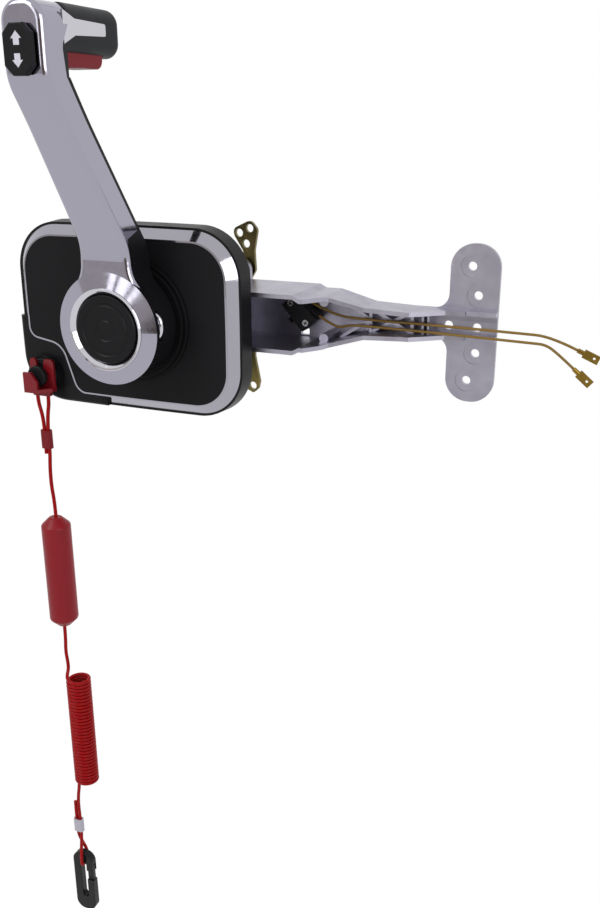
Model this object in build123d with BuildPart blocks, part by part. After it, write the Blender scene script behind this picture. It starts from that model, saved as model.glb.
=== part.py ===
from build123d import *
import os
from math import atan2, cos, degrees, hypot, pi, radians, sin, sqrt, tan

# Side mount boat engine control: a chrome lever on a panel, its gear case behind the panel, the
# cable anchor arm, the neutral safety switch, and the emergency stop switch with its lanyard.
# Millimetres. X runs along the boat, Z is up, Y points into the boat's side. The origin is where
# the lever's pivot axis meets the mounting plane, so the driver sits on the -Y side.

os.makedirs("parts", exist_ok=True)


# Driving dimensions: the panel

gasket_thickness = 1.5
gasket_width = 6.5
rim_y = -15.7
face_y = -22.0
face_width = 173.5
face_height = 122.0
face_center_x = -9.5
face_center_z = -0.7
face_corner_radius = 28.0
face_crown = 0.9
bezel_width = 6.8
rim_width = 1.8
housing_draft = 4.0
housing_wall = 3.0
seat_y = -14.6
plateau_y = -18.0
lip_width = 1.3
lip_height = 0.4

# Driving dimensions: the plate that is screwed to the boat's side, and the gear case on its back

plate_half_x = face_center_x + face_width / 2 - 6.25
plate_half_z = face_height / 2 - 6.0
plate_thickness = 5.0
plate_corner_radius = 14.0
mount_spacing_x = 2 * plate_half_x - 18.0
mount_spacing_z = 2 * plate_half_z - 16.0
mount_hole_diameter = 6.6
plate_boss_radius = 17.0
plate_boss_front_y = -14.0
case_left = -38.0
case_right = 56.0
case_half_z = 42.0
case_depth = 52.0
case_wall = 4.0
case_back_wall = 7.0
case_corner_radius = 10.0

# Driving dimensions: shafts and gears

shaft_diameter = 12.0
arm_shaft_diameter = 10.0
shaft_square = 8.4
running_clearance = 0.05
bushing_wall = 2.5
gear_module = 1.25
pinion_teeth = 14
sector_teeth = 42
pressure_angle = 20.0
gear_backlash = 0.24
arm_axis_angle = 29.0
gear_width = 6.0
shift_gear_y = case_depth - 40.0
throttle_gear_y = case_depth - 30.0
detent_radius = 22.0
detent_y = case_depth - 19.0
detent_width = 6.0
roller_radius = 4.0

# Driving dimensions: the lever, in the positions that it has in neutral

hub_radius = 40.4
hub_crest_y = -60.0
hub_back_y = -53.5
hub_opening_radius = 29.6
hub_base_back_y = -27.6
arm_front_y = -57.0
arm_bend_z = 58.5
arm_lean = 33.3
lean_slope = tan(radians(arm_lean))
head_top_z = 207.5
head_height = 45.5
head_bend_z = head_top_z - head_height
head_front_y = arm_front_y - (head_bend_z - arm_bend_z) * lean_slope
arm_depth_y = 22.3
back_cover_depth_y = 4.8
neck_half_width = 20.5
neck_z = 45.0
upper_half_width = 15.4
upper_z = head_top_z - 67.5
neck_fillet = 22.0
head_corner_radius = 13.0
front_edge_radius = 4.0
cover_seam_z = head_top_z - 65.5
cover_side_z = head_top_z - 46.0
cover_half_width = 13.5

# Driving dimensions: the hand grip, the neutral lock trigger and the trim switch

grip_end_y = head_front_y + 83.4
grip_bottom_z = head_top_z - 29.5
grip_half_width = 15.4
core_half_width = 8.0
core_top_z = head_top_z - 6.0
core_bottom_z = core_top_z - 11.5
core_end_y = grip_end_y - 8.0
trigger_front_y = head_front_y + 24.0
trigger_back_y = grip_end_y - 15.5
trigger_half_width = 10.5
trigger_bottom_z = grip_bottom_z - 8.0
trigger_top_z = grip_bottom_z + 4.0
trigger_travel = 6.0
slide_clearance = 0.35
switch_center_z = head_top_z - 28.2
switch_width = 20.0
switch_height = 29.0
switch_corner = 5.5
switch_stand = 5.0

# Driving dimensions: the throttle only button in the hub's side

button_outer_x = 41.4
button_front_y = -52.9
button_depth_y = 6.2
button_low_z = -7.0
button_high_z = 14.0

# Driving dimensions: the cable anchor arm with its cross plate

web_y = case_depth + 6.0
web_thickness = 4.0
channel_wall = 3.2
channel_half_z = 22.0
neck_half_z = 10.6
channel_front_y = 5.0
neck_front_y = 27.0
channel_start_x = 57.0
channel_end_x = 131.0
neck_start_x = 162.0
anchor_plate_x = 236.0
anchor_plate_width = 36.0
anchor_plate_half_z = 58.0
anchor_hole_diameter = 6.5
outer_hole_x = 233.6
outer_hole_spacing = 84.0
inner_hole_x = 239.0
inner_hole_spacing = 42.4

# Driving dimensions: the cable levers

lever_plate_y = web_y + web_thickness + 3.0
lever_plate_thickness = 3.0
cable_hole_diameter = 6.4

# Driving dimensions: the stop switch and its lanyard

stop_x = face_center_x - face_width / 2 + 13.25
stop_z = face_center_z - face_height / 2 + 13.7
stop_nut_radius = 14.5
stop_barrel_radius = 8.0
stop_stem_radius = 3.0
stop_button_radius = 8.3
stop_button_front_y = -36.5
stop_button_travel = 2.2
clip_back_y = -28.3
clip_thickness = 2.2
cord_diameter = 3.0
cord_y = -31.0
float_diameter = 24.0
float_top_z = stop_z - 120.0
float_bottom_z = float_top_z - 100.0
coil_diameter = 21.4
coil_top_z = float_bottom_z - 51.0
coil_bottom_z = coil_top_z - 109.0
ferrule_top_z = coil_bottom_z - 46.0
ferrule_bottom_z = ferrule_top_z - 13.0
hook_center_x = stop_x - 0.8
hook_top_z = ferrule_bottom_z - 24.0
hook_bottom_z = hook_top_z - 66.0
hook_width = 21.0
hook_thickness = 7.0


# Sketch planes and shared outlines

def front_plane(y):
    """A sketch plane across the pivot axis: local x is X, local y is Z, and it faces the driver."""
    return Plane(origin=(0, y, 0), x_dir=(1, 0, 0), z_dir=(0, -1, 0))


def panel_outline(grow):
    """The panel's rounded outline with slightly crowned sides, larger all round by grow."""
    half_w = face_width / 2 + grow
    half_h = face_height / 2 + grow
    low_w = half_w - face_crown
    low_h = half_h - face_crown
    with BuildSketch() as outline:
        with BuildLine():
            ThreePointArc((-low_w, -low_h), (0, -half_h), (low_w, -low_h))
            ThreePointArc((low_w, -low_h), (half_w, 0), (low_w, low_h))
            ThreePointArc((low_w, low_h), (0, half_h), (-low_w, low_h))
            ThreePointArc((-low_w, low_h), (-half_w, 0), (-low_w, -low_h))
        make_face()
        fillet(outline.vertices(), face_corner_radius + grow)
    return outline.sketch.moved(Location((face_center_x, face_center_z)))


def stop_corner(grow):
    """The lower left corner that carries the stop switch, bounded by the panel's swept line."""
    face_left = face_center_x - face_width / 2
    face_bottom = face_center_z - face_height / 2
    far = 160
    swept = [
        (face_left, face_bottom + 42.2),
        (face_left + 29.25, face_bottom + 37.2),
        (face_left + 41.25, face_bottom - 0.2),
    ]
    with BuildSketch() as corner:
        with BuildLine():
            Polyline(
                (face_left, face_bottom + 58),
                *swept,
                (face_left + 66.25, face_bottom - 0.2),
                (face_left + 66.25, -far),
                (-far, -far),
                (-far, face_bottom + 58),
                close=True,
            )
        make_face()
        for point, radius in zip(swept, (9.0, 15.0, 12.0)):
            turn = corner.vertices().sort_by_distance(Vector(*point))[0]
            fillet(turn, radius)
        if grow > 0:
            offset(amount=grow)
    return corner.sketch


def lean_y(z, behind=0.0):
    """Depth of the leaning arm's front face at height z, or of a face that lies behind it."""
    return arm_front_y - (z - arm_bend_z) * lean_slope + behind


def arm_half_width(z):
    """Half the arm's width at height z: it tapers from the neck to the head."""
    share = (z - neck_z) / (upper_z - neck_z)
    return neck_half_width + (upper_half_width - neck_half_width) * share



# Panel parts

with BuildPart() as panel_gasket:
    with BuildSketch(front_plane(0)):
        add(panel_outline(bezel_width))
        add(panel_outline(bezel_width - gasket_width), mode=Mode.SUBTRACT)
    extrude(amount=gasket_thickness)
panel_gasket.part.label = "panel_gasket"
export_step(panel_gasket.part, "parts/panel_gasket.step")

rim_depth = -rim_y - gasket_thickness
rim_spread = rim_depth * tan(radians(housing_draft))
housing_screw_x = 30.0
housing_screw_z = 48.0
housing_screw_diameter = 4.0
with BuildPart() as panel_housing:
    with BuildSketch(front_plane(-gasket_thickness)):
        add(panel_outline(bezel_width + rim_width + rim_spread))
    with BuildSketch(front_plane(rim_y)):
        add(panel_outline(bezel_width + rim_width))
    loft()
    with BuildSketch(front_plane(rim_y)):
        add(panel_outline(bezel_width + rim_width))
        add(stop_corner(0), mode=Mode.INTERSECT)
    extrude(amount=rim_y - face_y)
    corner_edges = panel_housing.faces().sort_by(Axis.Y)[0].edges()
    outer_edges = corner_edges.filter_by(lambda edge: edge.center().X < -101 or edge.center().Z < -66)
    fillet(outer_edges, 4.0)
    with BuildSketch(front_plane(seat_y)):
        add(panel_outline(bezel_width + 0.05))
        add(stop_corner(0.05), mode=Mode.SUBTRACT)
    extrude(amount=seat_y - rim_y, mode=Mode.SUBTRACT)
    with BuildSketch(front_plane(seat_y)):
        add(panel_outline(-1.2))
        add(stop_corner(lip_width + 0.05), mode=Mode.SUBTRACT)
    extrude(amount=seat_y - plateau_y)
    # Hollow from behind, in three depths that follow the front
    with BuildSketch(front_plane(-gasket_thickness)):
        add(panel_outline(bezel_width + rim_width - housing_wall))
    extrude(amount=-seat_y - gasket_thickness - 2.4, mode=Mode.SUBTRACT)
    with BuildSketch(front_plane(seat_y + 3)):
        add(panel_outline(-1.2 - 2.4))
        add(stop_corner(lip_width + 3), mode=Mode.SUBTRACT)
    extrude(amount=seat_y + 3 - plateau_y - 2.4, mode=Mode.SUBTRACT)
    with BuildSketch(front_plane(seat_y + 3)):
        add(panel_outline(bezel_width + rim_width - 6))
        add(stop_corner(0), mode=Mode.INTERSECT)
        offset(amount=-2.6)
    extrude(amount=seat_y + 3 - face_y - 2.6, mode=Mode.SUBTRACT)
    # Screw posts that stand on the mounting plate
    with BuildSketch(front_plane(-plate_thickness)):
        with GridLocations(2 * housing_screw_x, 2 * housing_screw_z, 2, 2):
            Circle(housing_screw_diameter)
    extrude(amount=-plateau_y - plate_thickness - 1)
    with BuildSketch(front_plane(0)):
        with GridLocations(2 * housing_screw_x, 2 * housing_screw_z, 2, 2):
            Circle(housing_screw_diameter / 2)
    extrude(amount=15, mode=Mode.SUBTRACT)
    with BuildSketch(front_plane(0)):
        Circle(plate_boss_radius + 0.5)
    extrude(amount=-plateau_y, mode=Mode.SUBTRACT)
    with BuildSketch(front_plane(0)):
        with Locations((stop_x, stop_z)):
            Circle(stop_barrel_radius + 0.2)
    extrude(amount=-face_y + 1, mode=Mode.SUBTRACT)
panel_housing.part.label = "panel_housing"
export_step(panel_housing.part, "parts/panel_housing.step")

with BuildPart() as chrome_bezel:
    with BuildSketch(front_plane(rim_y)):
        add(panel_outline(bezel_width))
    with BuildSketch(front_plane(face_y)):
        add(panel_outline(0))
    loft()
    with BuildSketch(front_plane(seat_y)):
        add(panel_outline(bezel_width))
    extrude(amount=seat_y - rim_y)
    with BuildSketch(front_plane(face_y)):
        add(panel_outline(0))
    extrude(amount=lip_height)
    with BuildSketch(front_plane(seat_y)):
        add(panel_outline(-1.2))
    extrude(amount=seat_y - face_y + lip_height, mode=Mode.SUBTRACT)
    with BuildSketch(front_plane(seat_y)):
        add(stop_corner(0.1))
    extrude(amount=seat_y - face_y + lip_height, mode=Mode.SUBTRACT)
    with BuildSketch(front_plane(plateau_y)):
        add(stop_corner(0.1 + lip_width))
        add(stop_corner(0.1), mode=Mode.SUBTRACT)
        add(panel_outline(0), mode=Mode.INTERSECT)
    extrude(amount=plateau_y - face_y + lip_height)
chrome_bezel.part.label = "chrome_bezel"
export_step(chrome_bezel.part, "parts/chrome_bezel.step")

with BuildPart() as face_panel:
    with BuildSketch(front_plane(plateau_y)):
        add(panel_outline(-1.3))
        add(stop_corner(0.2 + lip_width), mode=Mode.SUBTRACT)
        Circle(shaft_diameter / 2 + 4, mode=Mode.SUBTRACT)
    extrude(amount=plateau_y - face_y)
face_panel.part.label = "face_panel"
export_step(face_panel.part, "parts/face_panel.step")

# The escutcheon is the low stepped ring that the lever's hub turns in front of
with BuildPart() as pivot_escutcheon:
    with BuildSketch(Plane.XY):
        with BuildLine():
            Polyline(
                (shaft_diameter / 2 + 1, face_y),
                (46.3, face_y),
                (46.3, face_y - 1.6),
                (45.0, face_y - 2.4),
                (43.2, face_y - 2.4),
                (43.2, face_y - 3.6),
                (42.0, face_y - 4.2),
                (38.8, face_y - 4.2),
                (38.8, face_y - 5.0),
                (21.0, face_y - 5.0),
                (21.0, hub_base_back_y + running_clearance),
                (shaft_diameter / 2 + 1, hub_base_back_y + running_clearance),
                close=True,
            )
        make_face()
    revolve(axis=Axis.Y)
pivot_escutcheon.part.label = "pivot_escutcheon"
export_step(pivot_escutcheon.part, "parts/pivot_escutcheon.step")


# Mounting plate, its screws, and the gear case behind it

bushing_radius = shaft_diameter / 2 + running_clearance + bushing_wall
case_screw_x = 47.0
case_screw_low_x = -29.0
case_screw_z = 35.0
case_screw_radius = 2.5
case_screw_head_radius = 4.5
with BuildPart() as mounting_plate:
    with BuildSketch(front_plane(0)):
        RectangleRounded(2 * plate_half_x, 2 * plate_half_z, plate_corner_radius)
    extrude(amount=plate_thickness)
    with BuildSketch(front_plane(plate_thickness * -1)):
        Circle(plate_boss_radius)
    extrude(amount=-plate_boss_front_y - plate_thickness, taper=3)
    with BuildSketch(front_plane(0)):
        Circle(bushing_radius)
    extrude(amount=-plate_boss_front_y, mode=Mode.SUBTRACT)
    with BuildSketch(front_plane(0)):
        with GridLocations(mount_spacing_x, mount_spacing_z, 2, 2):
            Circle(mount_hole_diameter / 2)
        with GridLocations(2 * housing_screw_x, 2 * housing_screw_z, 2, 2):
            Circle(housing_screw_diameter / 2 + 0.2)
        for x in (case_screw_low_x, case_screw_x):
            with Locations((x, case_screw_z), (x, -case_screw_z)):
                Circle(case_screw_radius + 0.2)
    extrude(amount=plate_thickness, mode=Mode.SUBTRACT)
    with BuildSketch(front_plane(0)):
        with GridLocations(2 * housing_screw_x, 2 * housing_screw_z, 2, 2):
            Circle(housing_screw_diameter + 0.4)
    extrude(amount=2.6, mode=Mode.SUBTRACT)
    # Lightening pockets beside the boss
    with BuildSketch(front_plane(-plate_thickness)):
        with Locations((-52, 0), (60, 0)):
            RectangleRounded(14, 62, 5)
    extrude(amount=-2, mode=Mode.SUBTRACT)
mounting_plate.part.label = "mounting_plate"
export_step(mounting_plate.part, "parts/mounting_plate.step")

with BuildPart() as housing_screws:
    with BuildSketch(front_plane(0)):
        with GridLocations(2 * housing_screw_x, 2 * housing_screw_z, 2, 2):
            Circle(housing_screw_diameter / 2)
    extrude(amount=14)
    with BuildSketch(front_plane(0)):
        with GridLocations(2 * housing_screw_x, 2 * housing_screw_z, 2, 2):
            Circle(housing_screw_diameter)
    extrude(amount=2.6)
housing_screws.part.label = "housing_screws"
export_step(housing_screws.part, "parts/housing_screws.step")

case_center_x = (case_left + case_right) / 2
case_width = case_right - case_left
arm_axis_distance = gear_module * (pinion_teeth + sector_teeth) / 2
arm_axis_x = arm_axis_distance * cos(radians(arm_axis_angle))
arm_axis_z = arm_axis_distance * sin(radians(arm_axis_angle))
arm_bushing_radius = arm_shaft_diameter / 2 + running_clearance + 1.5
standoff_places = [(-24, 25), (-24, -25), (49, 33), (49, -33)]
standoff_radius = 6.0
bracket_screw_radius = 2.5
with BuildPart() as mechanism_case:
    with BuildSketch(front_plane(case_depth)):
        with Locations((case_center_x, 0)):
            RectangleRounded(case_width, 2 * case_half_z, case_corner_radius)
    extrude(amount=case_depth)
    back_edges = mechanism_case.faces().sort_by(Axis.Y)[-1].edges()
    fillet(back_edges, 3)
    with BuildSketch(front_plane(case_depth - case_back_wall)):
        with Locations((case_center_x, 0)):
            RectangleRounded(
                case_width - 2 * case_wall, 2 * (case_half_z - case_wall), case_corner_radius - case_wall
            )
    extrude(amount=case_depth - case_back_wall, mode=Mode.SUBTRACT)
    # Corner posts that take the screws from the plate
    with BuildSketch(front_plane(case_depth - case_back_wall)):
        for x in (case_screw_low_x, case_screw_x):
            with Locations((x, case_screw_z), (x, -case_screw_z)):
                Circle(case_screw_radius + 3)
    extrude(amount=case_depth - case_back_wall)
    with BuildSketch(front_plane(case_depth)):
        Circle(bushing_radius + 4)
        for z in (arm_axis_z, -arm_axis_z):
            with Locations((arm_axis_x, z)):
                Circle(arm_bushing_radius + 2)
    extrude(amount=3, dir=(0, 1, 0))
    with BuildSketch(front_plane(web_y)):
        with Locations(*standoff_places):
            Circle(standoff_radius)
    extrude(amount=web_y - case_depth + 3)
    with BuildSketch(front_plane(web_y)):
        with Locations(*standoff_places):
            Circle(bracket_screw_radius)
    extrude(amount=10, mode=Mode.SUBTRACT)
    with BuildSketch(front_plane(case_depth + 4)):
        Circle(bushing_radius)
        for z in (arm_axis_z, -arm_axis_z):
            with Locations((arm_axis_x, z)):
                Circle(arm_bushing_radius)
    extrude(amount=case_back_wall + 8, mode=Mode.SUBTRACT)
    with BuildSketch(front_plane(0)):
        for x in (case_screw_low_x, case_screw_x):
            with Locations((x, case_screw_z), (x, -case_screw_z)):
                Circle(case_screw_radius)
    extrude(amount=-12, mode=Mode.SUBTRACT)
mechanism_case.part.label = "mechanism_case"
export_step(mechanism_case.part, "parts/mechanism_case.step")

with BuildPart() as case_screws:
    with BuildSketch(front_plane(-plate_thickness)):
        for x in (case_screw_low_x, case_screw_x):
            with Locations((x, case_screw_z), (x, -case_screw_z)):
                Circle(case_screw_radius)
    extrude(amount=-plate_thickness - 11)
    with BuildSketch(front_plane(-plate_thickness)):
        for x in (case_screw_low_x, case_screw_x):
            with Locations((x, case_screw_z), (x, -case_screw_z)):
                Circle(case_screw_head_radius)
    extrude(amount=3)
case_screws.part.label = "case_screws"
export_step(case_screws.part, "parts/case_screws.step")

front_bushing_length = -plate_boss_front_y
rear_bushing_start = case_depth - case_back_wall
rear_bushing_end = case_depth + 3.0
with BuildPart() as shaft_bushings:
    with BuildSketch(front_plane(0)):
        Circle(bushing_radius)
        Circle(shaft_diameter / 2 + running_clearance, mode=Mode.SUBTRACT)
    extrude(amount=front_bushing_length)
    with BuildSketch(front_plane(rear_bushing_end)):
        Circle(bushing_radius)
        Circle(shaft_diameter / 2 + running_clearance, mode=Mode.SUBTRACT)
        for z in (arm_axis_z, -arm_axis_z):
            with Locations((arm_axis_x, z)):
                Circle(arm_bushing_radius)
                Circle(arm_shaft_diameter / 2 + running_clearance, mode=Mode.SUBTRACT)
    extrude(amount=rear_bushing_end - rear_bushing_start)
shaft_bushings.part.label = "shaft_bushings"
export_step(shaft_bushings.part, "parts/shaft_bushings.step")


# Gears: involute teeth, drawn by formula

def involute_gear(teeth, first_tooth, last_tooth, hub_radius_gear, aim):
    """A spur gear, or a sector of one, whose tooth number 0 points along the angle aim in degrees."""
    pitch_radius = gear_module * teeth / 2
    base_radius = pitch_radius * cos(radians(pressure_angle))
    tip_radius = pitch_radius + gear_module * 0.9
    root_radius = pitch_radius - gear_module * 1.25
    flank_start = max(base_radius, root_radius)
    half_pitch_angle = pi / teeth / 2 - gear_backlash / 2 / pitch_radius
    roll_at_pitch = tan(radians(pressure_angle)) - radians(pressure_angle)
    flank_steps = 4

    def flank_angle(radius):
        roll = sqrt(max((radius / base_radius) ** 2 - 1, 0))
        return half_pitch_angle + roll_at_pitch - (roll - atan2(roll, 1))

    def polar(radius, angle):
        return (radius * cos(angle), radius * sin(angle))

    points = []
    for tooth in range(first_tooth, last_tooth + 1):
        middle = radians(aim) + 2 * pi * tooth / teeth
        radii = [flank_start + (tip_radius - flank_start) * i / flank_steps for i in range(flank_steps + 1)]
        points.append(polar(root_radius, middle - flank_angle(flank_start)))
        points += [polar(radius, middle - flank_angle(radius)) for radius in radii if radius > root_radius]
        points += [polar(radius, middle + flank_angle(radius)) for radius in reversed(radii) if radius > root_radius]
        points.append(polar(root_radius, middle + flank_angle(flank_start)))
    whole = last_tooth - first_tooth + 1 == teeth
    if not whole:
        gap = 2 * pi / teeth / 2
        low = radians(aim) + 2 * pi * first_tooth / teeth - gap
        high = radians(aim) + 2 * pi * last_tooth / teeth + gap
        points.append(polar(root_radius, high))
        points.append(polar(hub_radius_gear, high + 0.35))
        points.append(polar(hub_radius_gear, low - 0.35))
        points.append(polar(root_radius, low))
    with BuildSketch() as gear:
        Polygon(*points, align=None)
        if not whole:
            Circle(hub_radius_gear)
    return gear.sketch


hub_bolt_radius = 3.0
pinion_start_y = shift_gear_y - 1
pinion_end_y = throttle_gear_y + gear_width + 1
with BuildPart() as main_shaft:
    with BuildSketch(front_plane(rear_bushing_end + 1.5)):
        Circle(shaft_diameter / 2)
    extrude(amount=rear_bushing_end + 1.5 - hub_base_back_y)
    with BuildSketch(front_plane(hub_base_back_y)):
        Rectangle(shaft_square, shaft_square)
    extrude(amount=hub_base_back_y + 50.0)
    with BuildSketch(front_plane(-50.0)):
        Circle(hub_bolt_radius)
    extrude(amount=-14, mode=Mode.SUBTRACT)
main_shaft.part.label = "main_shaft"
export_step(main_shaft.part, "parts/main_shaft.step")

with BuildPart() as drive_pinion:
    with BuildSketch(front_plane(pinion_end_y)):
        add(involute_gear(pinion_teeth, 0, pinion_teeth - 1, 0, arm_axis_angle))
        Circle(shaft_diameter / 2, mode=Mode.SUBTRACT)
    extrude(amount=pinion_end_y - pinion_start_y)
drive_pinion.part.label = "drive_pinion"
export_step(drive_pinion.part, "parts/drive_pinion.step")


def sector_aim(axis_angle):
    """Where tooth 0 of a sector points, so that its gap meets the pinion's tooth beside it."""
    pinion_pitch = 360 / pinion_teeth
    phase = (arm_axis_angle - axis_angle + pinion_pitch / 2) % pinion_pitch - pinion_pitch / 2
    return axis_angle + 180 - phase * pinion_teeth / sector_teeth + 180 / sector_teeth


sector_hub_radius = arm_shaft_diameter / 2 + 4
side_teeth = 4
with BuildPart() as shift_sector:
    with BuildSketch(front_plane(shift_gear_y + gear_width)):
        with Locations((arm_axis_x, arm_axis_z)):
            add(
                involute_gear(
                    sector_teeth,
                    -side_teeth,
                    side_teeth,
                    sector_hub_radius,
                    sector_aim(arm_axis_angle),
                )
            )
            Circle(arm_shaft_diameter / 2, mode=Mode.SUBTRACT)
    extrude(amount=gear_width)
shift_sector.part.label = "shift_sector"
export_step(shift_sector.part, "parts/shift_sector.step")

with BuildPart() as throttle_sector:
    with BuildSketch(front_plane(throttle_gear_y + gear_width)):
        with Locations((arm_axis_x, -arm_axis_z)):
            add(
                involute_gear(
                    sector_teeth,
                    -side_teeth,
                    side_teeth,
                    sector_hub_radius,
                    sector_aim(-arm_axis_angle),
                )
            )
            Circle(arm_shaft_diameter / 2, mode=Mode.SUBTRACT)
    extrude(amount=gear_width)
throttle_sector.part.label = "throttle_sector"
export_step(throttle_sector.part, "parts/throttle_sector.step")

# Each cable lever's shaft has a flanged head behind the lever and a collar on its bushing
shaft_end_y = lever_plate_y + lever_plate_thickness
collar_start_y = rear_bushing_end + 0.1
with BuildPart() as shift_shaft:
    with BuildSketch(front_plane(shaft_end_y)):
        with Locations((arm_axis_x, arm_axis_z)):
            Circle(arm_shaft_diameter / 2)
    extrude(amount=shaft_end_y - shift_gear_y + 1)
    with BuildSketch(front_plane(lever_plate_y)):
        with Locations((arm_axis_x, arm_axis_z)):
            Circle(arm_shaft_diameter / 2 + 3)
    extrude(amount=lever_plate_y - collar_start_y)
    with BuildSketch(front_plane(shaft_end_y + 2.5)):
        with Locations((arm_axis_x, arm_axis_z)):
            RegularPolygon(arm_shaft_diameter / 2 + 2.5, 6)
    extrude(amount=2.5)
shift_shaft.part.label = "shift_shaft"
export_step(shift_shaft.part, "parts/shift_shaft.step")

with BuildPart() as throttle_shaft:
    with BuildSketch(front_plane(shaft_end_y)):
        with Locations((arm_axis_x, -arm_axis_z)):
            Circle(arm_shaft_diameter / 2)
    extrude(amount=shaft_end_y - throttle_gear_y + 1)
    with BuildSketch(front_plane(lever_plate_y)):
        with Locations((arm_axis_x, -arm_axis_z)):
            Circle(arm_shaft_diameter / 2 + 3)
    extrude(amount=lever_plate_y - collar_start_y)
    with BuildSketch(front_plane(shaft_end_y + 2.5)):
        with Locations((arm_axis_x, -arm_axis_z)):
            RegularPolygon(arm_shaft_diameter / 2 + 2.5, 6)
    extrude(amount=2.5)
throttle_shaft.part.label = "throttle_shaft"
export_step(throttle_shaft.part, "parts/throttle_shaft.step")

# The shift lever ends in a triangular head with three cable holes, one for each cable travel
shift_holes = [(54.8, 60.8), (45.7, 57.0), (51.6, 48.8)]
with BuildPart() as shift_arm:
    with BuildSketch(front_plane(shaft_end_y)) as shift_outline:
        with Locations((arm_axis_x, arm_axis_z)):
            Circle(11.5)
        with BuildLine():
            Polyline(
                (arm_axis_x - 9, arm_axis_z + 6),
                (arm_axis_x + 4, arm_axis_z - 10),
                (52.0, 16.0),
                (59.4, 28.0),
                (58.6, 43.5),
                (61.6, 60.0),
                (55.5, 67.2),
                (40.4, 60.2),
                (41.6, 54.5),
                (49.0, 43.0),
                (49.0, 31.5),
                close=True,
            )
        make_face()
    extrude(amount=lever_plate_thickness)
    upright = shift_arm.edges().filter_by(Axis.Y)
    fillet(upright.filter_by(lambda edge: edge.center().Z > 55), 4.5)
    upright = shift_arm.edges().filter_by(Axis.Y)
    fillet(upright.filter_by(lambda edge: 27 < edge.center().Z < 50 and edge.center().X > 45), 5)
    with BuildSketch(front_plane(shaft_end_y)):
        with Locations(*shift_holes):
            Circle(cable_hole_diameter / 2)
        with Locations((arm_axis_x, arm_axis_z)):
            Circle(arm_shaft_diameter / 2)
    extrude(amount=lever_plate_thickness, mode=Mode.SUBTRACT)
shift_arm.part.label = "shift_arm"
export_step(shift_arm.part, "parts/shift_arm.step")

throttle_hole = (55.5, -66.0)
with BuildPart() as throttle_arm:
    with BuildSketch(front_plane(shaft_end_y)):
        with Locations((arm_axis_x, -arm_axis_z)):
            Circle(11.5)
        with BuildLine():
            Polyline(
                (arm_axis_x - 9, -arm_axis_z - 6),
                (arm_axis_x + 4, -arm_axis_z + 10),
                (52.0, -16.0),
                (58.6, -27.0),
                (57.6, -41.0),
                (61.8, -62.0),
                (60.6, -68.0),
                (56.0, -72.2),
                (50.2, -69.5),
                (49.2, -63.0),
                (49.4, -42.0),
                (48.6, -31.5),
                close=True,
            )
        make_face()
    extrude(amount=lever_plate_thickness)
    upright = throttle_arm.edges().filter_by(Axis.Y)
    fillet(upright.filter_by(lambda edge: edge.center().Z < -60), 2.2)
    upright = throttle_arm.edges().filter_by(Axis.Y)
    fillet(upright.filter_by(lambda edge: -50 < edge.center().Z < -25 and edge.center().X > 45), 5)
    with BuildSketch(front_plane(shaft_end_y)):
        with Locations(throttle_hole):
            Circle(cable_hole_diameter / 2)
        with Locations((arm_axis_x, -arm_axis_z)):
            Circle(arm_shaft_diameter / 2)
    extrude(amount=lever_plate_thickness, mode=Mode.SUBTRACT)
throttle_arm.part.label = "throttle_arm"
export_step(throttle_arm.part, "parts/throttle_arm.step")

# The detent wheel's three notches are neutral and, one twelfth of a turn each way, the gears
detent_shift_angle = 30.0
roller_center_z = detent_radius + roller_radius + 0.3
notch_radius = roller_radius + 0.8
with BuildPart() as detent_wheel:
    with BuildSketch(front_plane(detent_y + detent_width)):
        Circle(detent_radius)
        Circle(shaft_diameter / 2, mode=Mode.SUBTRACT)
        for angle in (-detent_shift_angle, 0, detent_shift_angle):
            with Locations(Rotation(0, 0, angle) * Location((0, detent_radius + roller_radius - 1.4))):
                Circle(notch_radius, mode=Mode.SUBTRACT)
    extrude(amount=detent_width)
detent_wheel.part.label = "detent_wheel"
export_step(detent_wheel.part, "parts/detent_wheel.step")

with BuildPart() as detent_roller:
    with BuildSketch(front_plane(detent_y + detent_width)):
        with Locations((0, roller_center_z)):
            Circle(roller_radius)
    extrude(amount=detent_width)
detent_roller.part.label = "detent_roller"
export_step(detent_roller.part, "parts/detent_roller.step")

spring_foot_z = case_half_z - case_wall - 0.05
spring_strip = 1.2
with BuildPart() as detent_spring:
    with BuildSketch(front_plane(detent_y + detent_width)):
        with BuildLine():
            Polyline(
                (-23, spring_foot_z),
                (-23, spring_foot_z - spring_strip),
                (-14, spring_foot_z - spring_strip),
                (-5, roller_center_z + roller_radius),
                (5, roller_center_z + roller_radius),
                (6.5, roller_center_z + roller_radius - 3),
                (8.0, roller_center_z + roller_radius - 3),
                (6.5, roller_center_z + roller_radius + spring_strip),
                (-4.4, roller_center_z + roller_radius + spring_strip),
                (-12, spring_foot_z),
                close=True,
            )
        make_face()
    extrude(amount=detent_width)
detent_spring.part.label = "detent_spring"
export_step(detent_spring.part, "parts/detent_spring.step")


# The die cast arm that carries the cable anchor plate, a channel that is open to the front

top_edge = [(116, channel_half_z), (121, 19.4), (channel_end_x + 3, 19.4), (neck_start_x, 11.8), (192, neck_half_z)]
plate_left_x = anchor_plate_x - anchor_plate_width / 2


def arm_outline(inset):
    """The arm from its root to its cross plate, seen from the front and shrunk by inset."""
    upper = [(x, z - inset) for x, z in top_edge]
    lower = [(x, -z) for x, z in reversed(upper)]
    with BuildSketch() as outline:
        with BuildLine():
            Polyline(
                (channel_start_x, channel_half_z - inset),
                *upper,
                (anchor_plate_x, neck_half_z - inset),
                (anchor_plate_x, -neck_half_z + inset),
                *lower,
                (channel_start_x, -channel_half_z + inset),
                close=True,
            )
        make_face()
    return outline.sketch


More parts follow.
